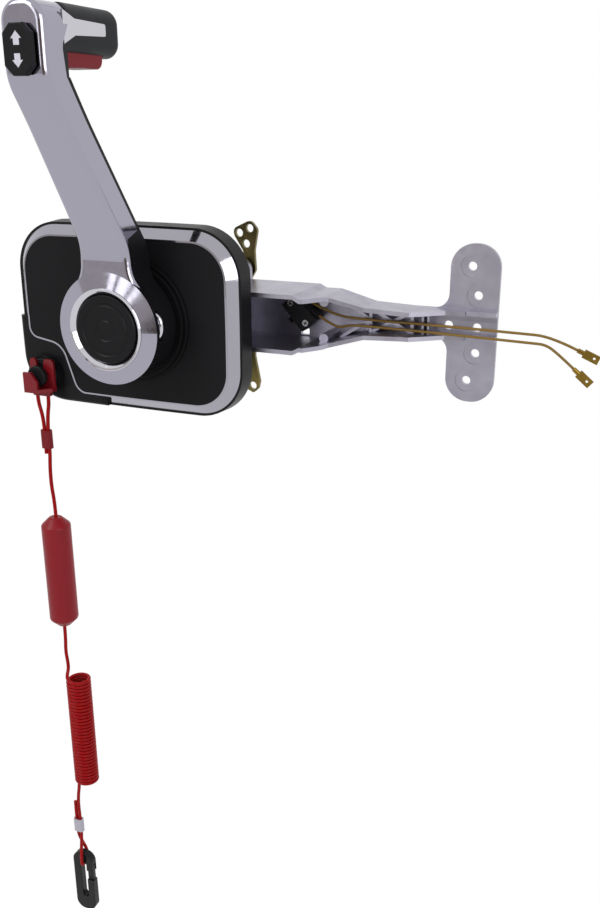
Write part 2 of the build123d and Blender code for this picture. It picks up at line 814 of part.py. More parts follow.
def brace(start, end, width):
    """A straight rib from start to end, seen from the front."""
    length = hypot(end[0] - start[0], end[1] - start[1])
    angle = degrees(atan2(end[1] - start[1], end[0] - start[0]))
    middle = ((start[0] + end[0]) / 2, (start[1] + end[1]) / 2)
    with BuildSketch() as rib:
        with Locations(Location(middle, (0, 0, angle))):
            Rectangle(length, width)
    return rib.sketch


root_half_z = 39.0
root_left_x = -33.0
root_right_x = 58.0
boss_x = 130.3
boss_z = 13.7
boss_front_y = web_y - 26.0
rib_front_y = web_y - 11.0
switch_center = (106.5, 2.5)
switch_angle = -49.5
switch_length = 26.0
switch_width_x = 15.0
switch_front_y = web_y - 18.0
switch_back_y = web_y - 6.0
switch_screw_spacing = 19.0
switch_screw_radius = 1.25
switch_frame = Location(switch_center, (0, 0, switch_angle))
with BuildPart() as arm_bracket:
    with BuildSketch(front_plane(web_y)):
        add(arm_outline(0))
        add(arm_outline(channel_wall), mode=Mode.SUBTRACT)
        with Locations((anchor_plate_x, 0)):
            Rectangle(8, 3 * neck_half_z, mode=Mode.SUBTRACT)
    extrude(amount=web_y - channel_front_y)
    with BuildSketch(Plane.XY):
        with BuildLine():
            Polyline(
                (channel_start_x, web_y),
                (channel_start_x, channel_front_y),
                (124, channel_front_y),
                (channel_end_x + 6, neck_front_y - 3),
                (neck_start_x, neck_front_y + 3),
                (196, neck_front_y + 4),
                (plate_left_x, web_y - 10),
                (anchor_plate_x, web_y - 7),
                (anchor_plate_x, web_y),
                close=True,
            )
        make_face()
    extrude(amount=60, both=True, mode=Mode.INTERSECT)
    with BuildSketch(front_plane(web_y + web_thickness)):
        add(arm_outline(0))
        with Locations(((root_left_x + root_right_x) / 2, 0)):
            RectangleRounded(root_right_x - root_left_x, 2 * root_half_z, 10)
        with Locations((anchor_plate_x, 0)):
            RectangleRounded(anchor_plate_width, 2 * anchor_plate_half_z, anchor_plate_width / 2 - 1)
    extrude(amount=web_thickness)
    # Concave fillets where the arm meets the cross plate
    junctions = arm_bracket.edges().filter_by(Axis.Y).filter_by(
        lambda edge: abs(edge.center().X - plate_left_x) < 0.5 and abs(abs(edge.center().Z) - neck_half_z) < 0.5
    )
    fillet(junctions, 11)
    # Low rails carry the channel's lines across the plate
    with BuildSketch(front_plane(web_y)):
        for z in (neck_half_z - channel_wall / 2, -neck_half_z + channel_wall / 2):
            with Locations((anchor_plate_x + 3, z)):
                Rectangle(anchor_plate_width - 6, channel_wall)
    extrude(amount=6)
    # Cross ribs and diagonal braces in the channel's floor
    with BuildSketch(front_plane(web_y)):
        add(brace((neck_start_x, -9.5), (neck_start_x, 9.5), 2.4))
        add(brace((194, -8.5), (194, 8.5), 2.4))
        add(brace((neck_start_x, -9.0), (194, 8.0), 2.2))
        add(brace((neck_start_x, 9.0), (194, -8.0), 2.2))
        add(brace((138, -15.0), (neck_start_x, 0), 2.2))
        add(brace((138, 15.0), (neck_start_x, 0), 2.2))
        add(brace((202, -8.0), (202, 8.0), 1.6))
        add(brace((206, -8.0), (206, 8.0), 1.6))
    extrude(amount=web_y - rib_front_y)
    with BuildSketch(front_plane(web_y)):
        with Locations((boss_x, boss_z), (boss_x, -boss_z)):
            Circle(3.6)
    extrude(amount=web_y - boss_front_y)
    with BuildSketch(front_plane(web_y)):
        with Locations(switch_frame):
            with Locations((-switch_screw_spacing / 2, 0), (switch_screw_spacing / 2, 0)):
                Circle(3.2)
    extrude(amount=web_y - switch_back_y)
    # Openings for the cable levers' hubs, the screws, the drain and the anchor holes
    with BuildSketch(front_plane(web_y + web_thickness)):
        with Locations((arm_axis_x, 0)):
            RectangleRounded(25, 2 * arm_axis_z + 25, 8)
        with Locations(*standoff_places):
            Circle(bracket_screw_radius + 0.2)
        with Locations((105, -15.4)):
            RectangleRounded(7, 5, 0.8)
        for x, spacing in ((outer_hole_x, outer_hole_spacing), (inner_hole_x, inner_hole_spacing)):
            with Locations((x, spacing / 2), (x, -spacing / 2)):
                Circle(anchor_hole_diameter / 2)
        with Locations((218.5, -1.5), (239.5, -2.0)):
            Circle(anchor_hole_diameter / 2)
    extrude(amount=web_thickness, mode=Mode.SUBTRACT)
    with BuildSketch(front_plane(switch_back_y + 6)):
        with Locations(switch_frame):
            with Locations((-switch_screw_spacing / 2, 0), (switch_screw_spacing / 2, 0)):
                Circle(switch_screw_radius)
    extrude(amount=6, mode=Mode.SUBTRACT)
    # Shallow spot faces round the anchor holes
    with BuildSketch(front_plane(web_y)):
        for x, spacing in ((outer_hole_x, outer_hole_spacing), (inner_hole_x, inner_hole_spacing)):
            with Locations((x, spacing / 2), (x, -spacing / 2)):
                Circle(8.2)
    extrude(amount=-0.6, mode=Mode.SUBTRACT)
arm_bracket.part.label = "arm_bracket"
export_step(arm_bracket.part, "parts/arm_bracket.step")

with BuildPart() as bracket_screws:
    with BuildSketch(front_plane(web_y + web_thickness)):
        with Locations(*standoff_places):
            Circle(bracket_screw_radius)
    extrude(amount=web_thickness + 9)
    with BuildSketch(front_plane(web_y + web_thickness + 2.5)):
        with Locations(*standoff_places):
            RegularPolygon(4.6, 6)
    extrude(amount=2.5)
bracket_screws.part.label = "bracket_screws"
export_step(bracket_screws.part, "parts/bracket_screws.step")


# Neutral safety switch, its plunger, screws and leads

lead_diameter = 2.0
lead_y = web_y - 13.5
upper_lead_route = [
    (113.2, lead_y, 11.4),
    (131.0, lead_y, 3.4),
    (147.0, lead_y, 0.4),
    (216.0, lead_y, 0.3),
    (294.0, lead_y, -1.1),
    (313.0, lead_y, -9.2),
]
lower_lead_route = [
    (122.0, lead_y, 0.2),
    (131.0, lead_y, -4.7),
    (138.8, lead_y, -7.2),
    (146.0, lead_y, -4.9),
    (155.0, lead_y, -4.4),
    (208.0, lead_y, -5.2),
    (291.0, lead_y, -7.2),
    (299.0, lead_y, -12.0),
    (311.5, lead_y, -22.5),
]
plunger_radius = 2.0
plunger_reach = 5.0
with BuildPart() as neutral_switch:
    with BuildSketch(front_plane(switch_back_y)):
        with Locations(switch_frame):
            RectangleRounded(switch_length, switch_width_x, 1.2)
    extrude(amount=switch_back_y - switch_front_y)
    front_edges = neutral_switch.faces().sort_by(Axis.Y)[0].edges()
    chamfer(front_edges, 0.8)
    # Two blades' sockets on the side that faces the anchor plate
    with BuildSketch(front_plane(switch_back_y - 3)):
        with Locations(switch_frame):
            with Locations((-7, switch_width_x / 2), (7, switch_width_x / 2)):
                Rectangle(5.0, 4.0)
    extrude(amount=6)
    # Strain reliefs that the two leads come out of
    for route in (upper_lead_route, lower_lead_route):
        start = Vector(*route[0])
        heading = (Vector(*route[1]) - start).normalized()
        with BuildSketch(Plane(origin=start, z_dir=heading)):
            Circle(lead_diameter / 2 + 0.8)
        extrude(amount=-6)
    with BuildSketch(front_plane(switch_back_y)):
        with Locations(switch_frame):
            with Locations((-switch_screw_spacing / 2, 0), (switch_screw_spacing / 2, 0)):
                Circle(switch_screw_radius + 0.1)
    extrude(amount=switch_back_y - switch_front_y, mode=Mode.SUBTRACT)
    with BuildSketch(front_plane((switch_front_y + switch_back_y) / 2 + plunger_radius + 0.1)):
        with Locations(switch_frame):
            with Locations((0, -switch_width_x / 2)):
                Rectangle(2 * plunger_radius + 0.2, 12)
    extrude(amount=2 * plunger_radius + 0.2, mode=Mode.SUBTRACT)
neutral_switch.part.label = "neutral_switch"
export_step(neutral_switch.part, "parts/neutral_switch.step")

with BuildPart() as switch_plunger:
    with BuildSketch(front_plane((switch_front_y + switch_back_y) / 2 + plunger_radius)):
        with Locations(switch_frame):
            with Locations((0, -switch_width_x / 2)):
                Rectangle(2 * plunger_radius, 2 * plunger_reach - 1)
    extrude(amount=2 * plunger_radius)
    tip_edges = switch_plunger.faces().sort_by(Axis.X)[0].edges()
    fillet(tip_edges, 1.2)
switch_plunger.part.label = "switch_plunger"
export_step(switch_plunger.part, "parts/switch_plunger.step")

with BuildPart() as switch_screws:
    with BuildSketch(front_plane(switch_back_y + 5.5)):
        with Locations(switch_frame):
            with Locations((-switch_screw_spacing / 2, 0), (switch_screw_spacing / 2, 0)):
                Circle(switch_screw_radius)
    extrude(amount=switch_back_y + 5.5 - switch_front_y)
    with BuildSketch(front_plane(switch_front_y)):
        with Locations(switch_frame):
            with Locations((-switch_screw_spacing / 2, 0), (switch_screw_spacing / 2, 0)):
                Circle(2.4)
    extrude(amount=1.6)
switch_screws.part.label = "switch_screws"
export_step(switch_screws.part, "parts/switch_screws.step")


def arc_radii(points):
    """The bend radius at each corner of a route: 0.45 of the shorter run over tan of half the turn."""
    radii = []
    for before, here, after in zip(points, points[1:], points[2:]):
        run_in = Vector(*here) - Vector(*before)
        run_out = Vector(*after) - Vector(*here)
        half_turn = radians(run_in.get_angle(run_out)) / 2
        radii.append(0.45 * min(run_in.length, run_out.length) / tan(half_turn))
    return radii


def report_route(name, points, radii, part):
    """Print a cord's bend radii, and its volume beside its section times its length."""
    print(name, "bend radii", [round(radius, 1) for radius in radii], "volume", round(part.volume, 1))


def route_tube(points, diameter, radii):
    """A round tube along straight runs joined by tangent arcs, as a part and its path's length."""
    with BuildPart() as tube:
        with BuildLine() as path:
            FilletPolyline(*points, radius=radii)
        start = Plane(origin=path.line @ 0, z_dir=path.line % 0)
        with BuildSketch(start):
            Circle(diameter / 2)
        sweep(path=path.line)
    return tube.part, path.wires()[0].length


upper_radii = arc_radii(upper_lead_route)
upper_tube, upper_length = route_tube(upper_lead_route, lead_diameter, upper_radii)
with BuildPart() as switch_lead_upper:
    add(upper_tube)
switch_lead_upper.part.label = "switch_lead_upper"
export_step(switch_lead_upper.part, "parts/switch_lead_upper.step")

lower_radii = arc_radii(lower_lead_route)
lower_tube, lower_length = route_tube(lower_lead_route, lead_diameter, lower_radii)
with BuildPart() as switch_lead_lower:
    add(lower_tube)
switch_lead_lower.part.label = "switch_lead_lower"
export_step(switch_lead_lower.part, "parts/switch_lead_lower.step")

barrel_length = 5.0
tab_length = 11.5
tab_width = 6.3
tab_thickness = 0.8


def lead_end(points):
    """Place and heading of a lead's free end, seen from the front."""
    (x0, _, z0), (x1, _, z1) = points[-2:]
    return Location((x1, z1), (0, 0, degrees(atan2(z1 - z0, x1 - x0))))


with BuildPart() as lead_terminals:
    with BuildSketch(front_plane(lead_y + tab_thickness / 2)):
        for route in (upper_lead_route, lower_lead_route):
            with Locations(lead_end(route)):
                with Locations((barrel_length + tab_length / 2 - 0.5, 0)):
                    Rectangle(tab_length, tab_width)
                with Locations((barrel_length + tab_length - 4.0, 0)):
                    Circle(0.9, mode=Mode.SUBTRACT)
    extrude(amount=tab_thickness)
    for route in (upper_lead_route, lower_lead_route):
        end = Vector(*route[-1])
        heading = (end - Vector(*route[-2])).normalized()
        with BuildSketch(Plane(origin=end, z_dir=heading)):
            Circle(lead_diameter / 2 + 0.7)
        extrude(amount=barrel_length)
lead_terminals.part.label = "lead_terminals"
export_step(lead_terminals.part, "parts/lead_terminals.step")


# Lever: the chrome arm with its hub disc, its black back, and the head's cover

seam_z = head_top_z - 42.5
parting_line = [
    (lean_y(68.2, arm_depth_y), 68.2),
    (-55.0, 63.4),
    (-52.0, 57.3),
    (-50.5, 51.7),
    (-48.5, 46.0),
    (-48.0, 42.0),
    (-48.0, 20.0),
]
grip_seam = [
    (lean_y(seam_z, arm_depth_y), seam_z),
    (head_front_y + 18.0, head_top_z - 25.5),
    (head_front_y + 27.0, head_top_z - 9.5),
    (head_front_y + 28.5, head_top_z),
]
core_front_y = head_front_y + 17.5
inner_margin = 3.0


def arm_width_outline(inset):
    """The tapered arm from hub to head, seen from the front and shrunk by inset at each side."""
    with BuildSketch() as outline:
        with BuildLine():
            Polyline(
                (-arm_half_width(0) + inset, 0),
                (-upper_half_width + inset, upper_z),
                (-upper_half_width + inset, head_top_z),
                (upper_half_width - inset, head_top_z),
                (upper_half_width - inset, upper_z),
                (arm_half_width(0) - inset, 0),
                close=True,
            )
        make_face()
        top_corners = outline.vertices().sort_by(Axis.Y)[-2:]
        fillet(top_corners, head_corner_radius)
        waist = outline.vertices().filter_by(lambda corner: abs(corner.Y - upper_z) < 1)
        fillet(waist, 300)
        Circle(hub_radius - 2 * inset)
        joins = outline.vertices().filter_by(
            lambda corner: 20 < corner.Y < 45 and 15 < abs(corner.X) < 25
        )
        fillet(joins, neck_fillet)
    return outline.sketch


def near_front(point):
    """Whether a point lies on the lever's front face, or within an arc's sagitta of it."""
    front = min(arm_front_y, max(lean_y(point.Z), head_front_y))
    return -3.5 < point.Y - front < 2.9


with BuildPart() as lever_shape:
    with BuildSketch(Plane.YZ) as lever_profile:
        with BuildLine():
            Polyline(
                (arm_front_y, -hub_radius - 5),
                (arm_front_y, arm_bend_z),
                (head_front_y, head_bend_z),
                (head_front_y, head_top_z),
                *reversed(grip_seam),
                *parting_line,
                (hub_back_y, 18.0),
                (hub_back_y, -hub_radius - 5),
                close=True,
            )
        make_face()
        fillet(lever_profile.vertices().sort_by_distance(Vector(arm_front_y, arm_bend_z))[0], 35)
        fillet(lever_profile.vertices().sort_by_distance(Vector(head_front_y, head_bend_z))[0], 30)
        fillet(lever_profile.vertices().sort_by_distance(Vector(*grip_seam[1]))[0], 9)
    extrude(amount=hub_radius + 5, both=True)
    with BuildSketch(front_plane(hub_base_back_y)):
        add(arm_width_outline(0))
    extrude(amount=hub_base_back_y - head_front_y + 5, mode=Mode.INTERSECT)
    # One soft edge runs all round the front, from the hub up over the head and back
    soft_edges = lever_shape.edges().filter_by(
        lambda edge: all(near_front(edge @ share) for share in (0, 0.25, 0.5, 0.75, 1))
        and not (edge.length > 1.5 * upper_half_width and (edge @ 0.5).Z < head_top_z - 1 and abs((edge @ 0.5).X) < 1)
    )
    fillet(soft_edges, front_edge_radius)

# The cover's outline: a plate on the arm's front below, and the whole head above
with BuildPart() as cover_region:
    with BuildSketch(front_plane(grip_seam[-1][0] + 5)):
        with Locations((0, (cover_side_z + head_top_z + 5) / 2)):
            Rectangle(3 * upper_half_width, head_top_z + 5 - cover_side_z)
    extrude(amount=grip_seam[-1][0] + 10 - head_front_y)
    with BuildSketch(Plane.YZ):
        with BuildLine():
            Polyline(
                (lean_y(cover_seam_z) - 15, cover_seam_z),
                (lean_y(cover_seam_z, inner_margin), cover_seam_z),
                (lean_y(cover_side_z + 1, inner_margin), cover_side_z + 1),
                (lean_y(cover_side_z + 1) - 15, cover_side_z + 1),
                close=True,
            )
        make_face()
    extrude(amount=cover_half_width, both=True)

# What the cover encloses: the arm's own head and the stem inside the grip
inner_half_width = upper_half_width - inner_margin
inner_front_y = head_front_y + inner_margin + 0.5
inner_top_z = head_top_z - inner_margin - 1
switch_body_half_x = 8.0
switch_body_half_z = 11.0
switch_body_back_y = head_front_y + 10.0
tongue_half_x = 2.5
tongue_low_z = trigger_top_z - 10.0
tongue_high_z = trigger_top_z - 6.0
tongue_front_y = trigger_front_y - 12.5
leg_back_y = trigger_front_y - 8.5
leg_low_z = trigger_bottom_z - 10.0
rod_front = 8.6
rod_back = 13.4
rod_radius = 2.0
rod_top_z = leg_low_z - 2.8
tunnel_top_z = rod_top_z + trigger_travel + 1.0
with BuildPart() as inner_head:
    with BuildSketch(front_plane(core_front_y)):
        with Locations((0, (cover_side_z + inner_top_z) / 2)):
            RectangleRounded(2 * inner_half_width, inner_top_z - cover_side_z + 16, 8)
    extrude(amount=core_front_y - inner_front_y)
    with BuildSketch(front_plane(core_front_y)):
        with Locations((0, cover_side_z - 20)):
            Rectangle(3 * upper_half_width, 40)
    extrude(amount=core_front_y - head_front_y, mode=Mode.SUBTRACT)
    with BuildSketch(front_plane(core_front_y)):
        with Locations((0, inner_top_z + 20)):
            Rectangle(3 * upper_half_width, 40)
    extrude(amount=core_front_y - head_front_y, mode=Mode.SUBTRACT)

# Hollows inside the arm: the lock rod's tunnel, and the path of the trigger's tongue
with BuildPart() as lock_path:
    with BuildSketch(Plane.YZ):
        with BuildLine():
            Polyline(
                (lean_y(20, rod_front), 20),
                (lean_y(tunnel_top_z, rod_front), tunnel_top_z),
                (lean_y(tunnel_top_z, rod_back), tunnel_top_z),
                (lean_y(20, rod_back), 20),
                close=True,
            )
        make_face()
    extrude(amount=rod_radius + slide_clearance + 0.1, both=True)
    with BuildSketch(Plane.YZ):
        with BuildLine():
            Polyline(
                (tongue_front_y - slide_clearance - 0.6, leg_low_z - 1),
                (tongue_front_y - slide_clearance - 0.6, tongue_high_z + trigger_travel + slide_clearance),
                (trigger_front_y, tongue_high_z + trigger_travel + slide_clearance),
                (trigger_front_y, tongue_low_z - slide_clearance),
                (leg_back_y + slide_clearance, tongue_low_z - slide_clearance),
                (leg_back_y + slide_clearance, leg_low_z - 1),
                close=True,
            )
        make_face()
    extrude(amount=tongue_half_x + slide_clearance, both=True)

cover_screw_places = [(x, z) for z in (arm_bend_z + 27.5, head_bend_z - 26.0) for x in (-8.5, 8.5)]
cover_screw_radius = 1.5
cover_screw_head = 3.0


def back_plane(x, z, behind):
    """A plane that lies on the leaning back at x and z, a given depth behind the front face."""
    normal = (0, cos(radians(arm_lean)), sin(radians(arm_lean)))
    return Plane(origin=(x, lean_y(z, behind), z), x_dir=(1, 0, 0), z_dir=normal)


with BuildPart() as lever_arm:
    add(lever_shape)
    add(cover_region, mode=Mode.SUBTRACT)
    add(inner_head)
    # The hub's flared disc
    with BuildSketch(Plane.XY):
        with BuildLine():
            Polyline(
                (hub_opening_radius - 5, hub_back_y),
                (hub_opening_radius - 5, hub_crest_y),
                (hub_opening_radius, hub_crest_y),
                (hub_radius, arm_front_y),
                (hub_radius, hub_back_y),
                close=True,
            )
        make_face()
    revolve(axis=Axis.Y)
    with BuildSketch(front_plane(-40)):
        Circle(hub_opening_radius)
    extrude(amount=30, mode=Mode.SUBTRACT)
    add(lock_path, mode=Mode.SUBTRACT)
    with BuildSketch(front_plane(switch_body_back_y)):
        with Locations((0, switch_center_z)):
            Rectangle(2 * switch_body_half_x, 2 * switch_body_half_z)
    extrude(amount=20, mode=Mode.SUBTRACT)
    for x, z in cover_screw_places:
        with BuildSketch(back_plane(x, z, arm_depth_y + back_cover_depth_y)):
            Circle(cover_screw_radius)
        extrude(amount=-10, mode=Mode.SUBTRACT)
lever_arm.part.label = "lever_arm"
export_step(lever_arm.part, "parts/lever_arm.step")

with BuildPart() as handle_core:
    with BuildSketch(front_plane(core_end_y)):
        with Locations((0, (core_bottom_z + core_top_z) / 2)):
            RectangleRounded(2 * core_half_width, core_top_z - core_bottom_z, 3)
    extrude(amount=core_end_y - core_front_y)
handle_core.part.label = "handle_core"
export_step(handle_core.part, "parts/handle_core.step")

with BuildPart() as head_cover:
    add(lever_shape)
    add(cover_region, mode=Mode.INTERSECT)
    add(inner_head, mode=Mode.SUBTRACT)
    add(handle_core, mode=Mode.SUBTRACT)
    add(lock_path, mode=Mode.SUBTRACT)
    with BuildSketch(front_plane(switch_body_back_y)):
        with Locations((0, switch_center_z)):
            Rectangle(2 * switch_body_half_x, 2 * switch_body_half_z)
    extrude(amount=20, mode=Mode.SUBTRACT)
head_cover.part.label = "head_cover"
export_step(head_cover.part, "parts/head_cover.step")

# The grip's section has round corners, and its collar reaches down beside the trigger
collar_back_y = trigger_front_y - 0.5
grip_corner_radius = 9.5
grip_overlap_y = head_front_y + 10.0
inlay_end_y = grip_end_y - 18.0
inlay_end_top_z = head_top_z - 9.9
inlay_end_height = 7.2
inlay_length = 45.0
inlay_depth = 1.2
# Two tapered inlays in the grip's sides, each wide where it leaves the chromed head
with BuildPart() as inlay_wedges:
    with BuildSketch(Plane.YZ.offset(grip_half_width)) as inlay_profile:
        with BuildLine():
            Polyline(
                (inlay_end_y, inlay_end_top_z),
                (inlay_end_y, inlay_end_top_z - inlay_end_height),
                (inlay_end_y - inlay_length + 12, inlay_end_top_z - inlay_end_height - 1.6),
                (inlay_end_y - inlay_length, inlay_end_top_z - inlay_end_height - 7.0),
                (inlay_end_y - inlay_length, inlay_end_top_z + 5.0),
                (inlay_end_y - inlay_length + 12, inlay_end_top_z + 0.6),
                close=True,
            )
        make_face()
        fillet(inlay_profile.vertices().group_by(Axis.X)[-1], 1.5)
    extrude(amount=-inlay_depth)
    mirror(about=Plane.YZ)

with BuildPart() as grip:
    with BuildSketch(front_plane(grip_end_y)):
        with Locations((0, (grip_bottom_z + head_top_z) / 2)):
            RectangleRounded(2 * grip_half_width, head_top_z - grip_bottom_z, grip_corner_radius)
    extrude(amount=grip_end_y - grip_overlap_y)
    end_edges = grip.faces().sort_by(Axis.Y)[-1].edges()
    fillet(end_edges, 6)
    with BuildSketch(front_plane(collar_back_y)):
        with Locations((0, (seam_z + core_bottom_z) / 2)):
            Rectangle(2 * upper_half_width - 1, core_bottom_z - seam_z)
    extrude(amount=collar_back_y - grip_overlap_y)
    with BuildSketch(Plane.YZ) as seam_profile:
        with BuildLine():
            Polyline(
                (head_front_y, seam_z - 1),
                (grip_seam[0][0], seam_z - 1),
                *grip_seam,
                (grip_seam[-1][0], head_top_z + 1),
                (head_front_y, head_top_z + 1),
                close=True,
            )
        make_face()
        fillet(seam_profile.vertices().sort_by_distance(Vector(*grip_seam[1]))[0], 9)
    extrude(amount=20, both=True, mode=Mode.SUBTRACT)
    add(handle_core, mode=Mode.SUBTRACT)
    add(lock_path, mode=Mode.SUBTRACT)
    # The trigger's slot
    with BuildSketch(front_plane(trigger_back_y + slide_clearance)):
        with Locations((0, (grip_bottom_z + trigger_top_z + trigger_travel + slide_clearance - 1) / 2)):
            Rectangle(
                2 * (trigger_half_width + slide_clearance),
                trigger_top_z + trigger_travel + slide_clearance + 1 - grip_bottom_z,
            )
    extrude(amount=trigger_back_y - trigger_front_y + 2 * slide_clearance, mode=Mode.SUBTRACT)
    # Beds for the inlays in both sides
    add(inlay_wedges, mode=Mode.SUBTRACT)
grip.part.label = "grip"
export_step(grip.part, "parts/grip.step")

with BuildPart() as grip_inlays:
    add(inlay_wedges)
    add(lever_shape, mode=Mode.SUBTRACT)
grip_inlays.part.label = "grip_inlays"
export_step(grip_inlays.part, "parts/grip_inlays.step")

spring_bore_radius = 3.4
spring_outer_radius = 3.0
spring_bore_depth = 8.0
trigger_middle_y = (trigger_front_y + trigger_back_y) / 2
with BuildPart() as trigger:
    with BuildSketch(Plane.YZ) as trigger_profile:
        with BuildLine():
            Polyline(
                (trigger_front_y, trigger_bottom_z),
                (trigger_front_y, trigger_top_z),
                (trigger_back_y, trigger_top_z),
                (trigger_back_y, trigger_bottom_z + 1),
                (trigger_middle_y, trigger_bottom_z + 1),
                close=True,
            )
        make_face()
        fillet(trigger_profile.vertices().sort_by_distance(Vector(trigger_back_y, trigger_bottom_z + 1))[0], 6)
    extrude(amount=trigger_half_width, both=True)
    low_edges = trigger.edges().filter_by(
        lambda edge: edge.center().Z < trigger_bottom_z + 3 and abs(edge.center().X) > trigger_half_width - 0.1
    )
    fillet(low_edges, 1.5)
    with BuildSketch(Plane.YZ):
        with BuildLine():
            Polyline(
                (tongue_front_y, leg_low_z),
                (tongue_front_y, tongue_high_z),
                (trigger_front_y, tongue_high_z),
                (trigger_front_y, tongue_low_z),
                (leg_back_y, tongue_low_z),
                (leg_back_y, leg_low_z),
                close=True,
            )
        make_face()
    extrude(amount=tongue_half_x, both=True)
    with BuildSketch(Plane.XY.offset(trigger_top_z)):
        with Locations((0, trigger_middle_y)):
            Circle(spring_bore_radius)
    extrude(amount=-spring_bore_depth, mode=Mode.SUBTRACT)
trigger.part.label = "trigger"
export_step(trigger.part, "parts/trigger.step")

spring_top_z = trigger_top_z + trigger_travel + slide_clearance
spring_bottom_z = trigger_top_z - spring_bore_depth
with BuildPart() as trigger_spring:
    with BuildSketch(Plane.XY.offset(spring_bottom_z)):
        with Locations((0, trigger_middle_y)):
            Circle(spring_outer_radius)
            Circle(spring_outer_radius - 1.0, mode=Mode.SUBTRACT)
    extrude(amount=spring_top_z - spring_bottom_z)
trigger_spring.part.label = "trigger_spring"
export_step(trigger_spring.part, "parts/trigger_spring.step")

rod_middle = (rod_front + rod_back) / 2
rod_low_z = 33.5
rod_length = (rod_top_z - rod_low_z) / cos(radians(arm_lean))
with BuildPart() as lock_rod:
    rod_axis = (0, -sin(radians(arm_lean)), cos(radians(arm_lean)))
    with BuildSketch(Plane(origin=(0, lean_y(rod_low_z, rod_middle), rod_low_z), z_dir=rod_axis)):
        Circle(rod_radius)
    extrude(amount=rod_length)
lock_rod.part.label = "lock_rod"
export_step(lock_rod.part, "parts/lock_rod.step")

switch_front_plane_y = head_front_y - 2.0
axle_y = head_front_y + 1.0
axle_radius = 1.5
axle_half_length = 7.8
cap_front_y = head_front_y - switch_stand - 0.2
cap_back_y = head_front_y - 1.2
cap_wall = 1.0


def octagon(width, height, corner):
    """A rectangle with its four corners cut off."""
    with BuildSketch() as outline:
        Rectangle(width, height)
        chamfer(outline.vertices(), corner)
    return outline.sketch


with BuildPart() as trim_switch_housing:
    with BuildSketch(front_plane(switch_body_back_y)):
        with Locations((0, switch_center_z)):
            Rectangle(2 * switch_body_half_x, 2 * switch_body_half_z)
    extrude(amount=switch_body_back_y - head_front_y)
    with BuildSketch(front_plane(head_front_y)):
        with Locations((0, switch_center_z)):
            add(octagon(switch_width - 3.2, switch_height - 3.2, switch_corner - 0.9))
    extrude(amount=head_front_y - switch_front_plane_y)
    with BuildSketch(front_plane(axle_y + 6)):
        with Locations((0, switch_center_z)):
            Rectangle(9.0, 11.0)
    extrude(amount=20, mode=Mode.SUBTRACT)
    with BuildSketch(Plane(origin=(0, axle_y, switch_center_z), z_dir=(1, 0, 0))):
        Circle(axle_radius + running_clearance)
    extrude(amount=switch_body_half_x, both=True, mode=Mode.SUBTRACT)
trim_switch_housing.part.label = "trim_switch_housing"
export_step(trim_switch_housing.part, "parts/trim_switch_housing.step")

with BuildPart() as trim_rocker:
    with BuildSketch(front_plane(cap_back_y)):
        with Locations((0, switch_center_z)):
            add(octagon(switch_width, switch_height, switch_corner))
    extrude(amount=cap_back_y - cap_front_y)
    cap_edges = trim_rocker.faces().sort_by(Axis.Y)[0].edges()
    fillet(cap_edges, 0.9)
    with BuildSketch(front_plane(cap_back_y)):
        with Locations((0, switch_center_z)):
            add(octagon(switch_width - 2 * cap_wall, switch_height - 2 * cap_wall, switch_corner - 0.6))
    extrude(amount=cap_back_y - cap_front_y - 1.4, mode=Mode.SUBTRACT)
    with BuildSketch(front_plane(axle_y + 2.5)):
        with Locations((0, switch_center_z)):
            Rectangle(8.0, 6.0)
    extrude(amount=axle_y + 2.5 - cap_front_y - 1)
    with BuildSketch(Plane(origin=(0, axle_y, switch_center_z), z_dir=(1, 0, 0))):
        Circle(axle_radius)
    extrude(amount=axle_half_length, both=True)
trim_rocker.part.label = "trim_rocker"
export_step(trim_rocker.part, "parts/trim_rocker.step")

button_inner_x = 30.0
button_pocket_x = 24.0
with BuildPart() as lever_back_cover:
    with BuildSketch(Plane.YZ) as cover_profile:
        with BuildLine():
            Polyline(
                (hub_base_back_y, -hub_radius),
                (hub_back_y, -hub_radius),
                (hub_back_y, 42.0),
                *reversed(parting_line[:6]),
                (lean_y(seam_z, arm_depth_y), seam_z),
                (lean_y(seam_z, arm_depth_y + back_cover_depth_y), seam_z),
                (hub_base_back_y, 55.0),
                close=True,
            )
        make_face()
        fillet(cover_profile.vertices().sort_by_distance(Vector(hub_base_back_y, 55.0))[0], 12)
    extrude(amount=hub_radius, both=True)
    with BuildSketch(front_plane(hub_base_back_y)):
        add(arm_width_outline(1.0))
    extrude(amount=90, mode=Mode.INTERSECT)
    add(lever_shape, mode=Mode.SUBTRACT)
    add(lever_arm, mode=Mode.SUBTRACT)
    add(lock_path, mode=Mode.SUBTRACT)
    with BuildSketch(front_plane(hub_base_back_y)):
        Rectangle(shaft_square, shaft_square)
    extrude(amount=hub_base_back_y + 50.0, mode=Mode.SUBTRACT)
    with BuildSketch(front_plane(-50.0)):
        Circle(hub_bolt_radius + 0.2)
    extrude(amount=5, mode=Mode.SUBTRACT)
    # The throttle only button's pocket
    with BuildSketch(front_plane(button_front_y + button_depth_y + 0.3)):
        with Locations(((button_pocket_x + 45) / 2, (button_low_z + button_high_z) / 2)):
            Rectangle(45 - button_pocket_x, button_high_z - button_low_z + 0.7)
    extrude(amount=10, mode=Mode.SUBTRACT)
    for x, z in cover_screw_places:
        with BuildSketch(back_plane(x, z, arm_depth_y + back_cover_depth_y)):
            Circle(cover_screw_radius + 0.2)
        extrude(amount=-back_cover_depth_y, mode=Mode.SUBTRACT)
        with BuildSketch(back_plane(x, z, arm_depth_y + back_cover_depth_y)):
            Circle(cover_screw_head + 0.2)
        extrude(amount=-2.0, mode=Mode.SUBTRACT)
lever_back_cover.part.label = "lever_back_cover"
export_step(lever_back_cover.part, "parts/lever_back_cover.step")

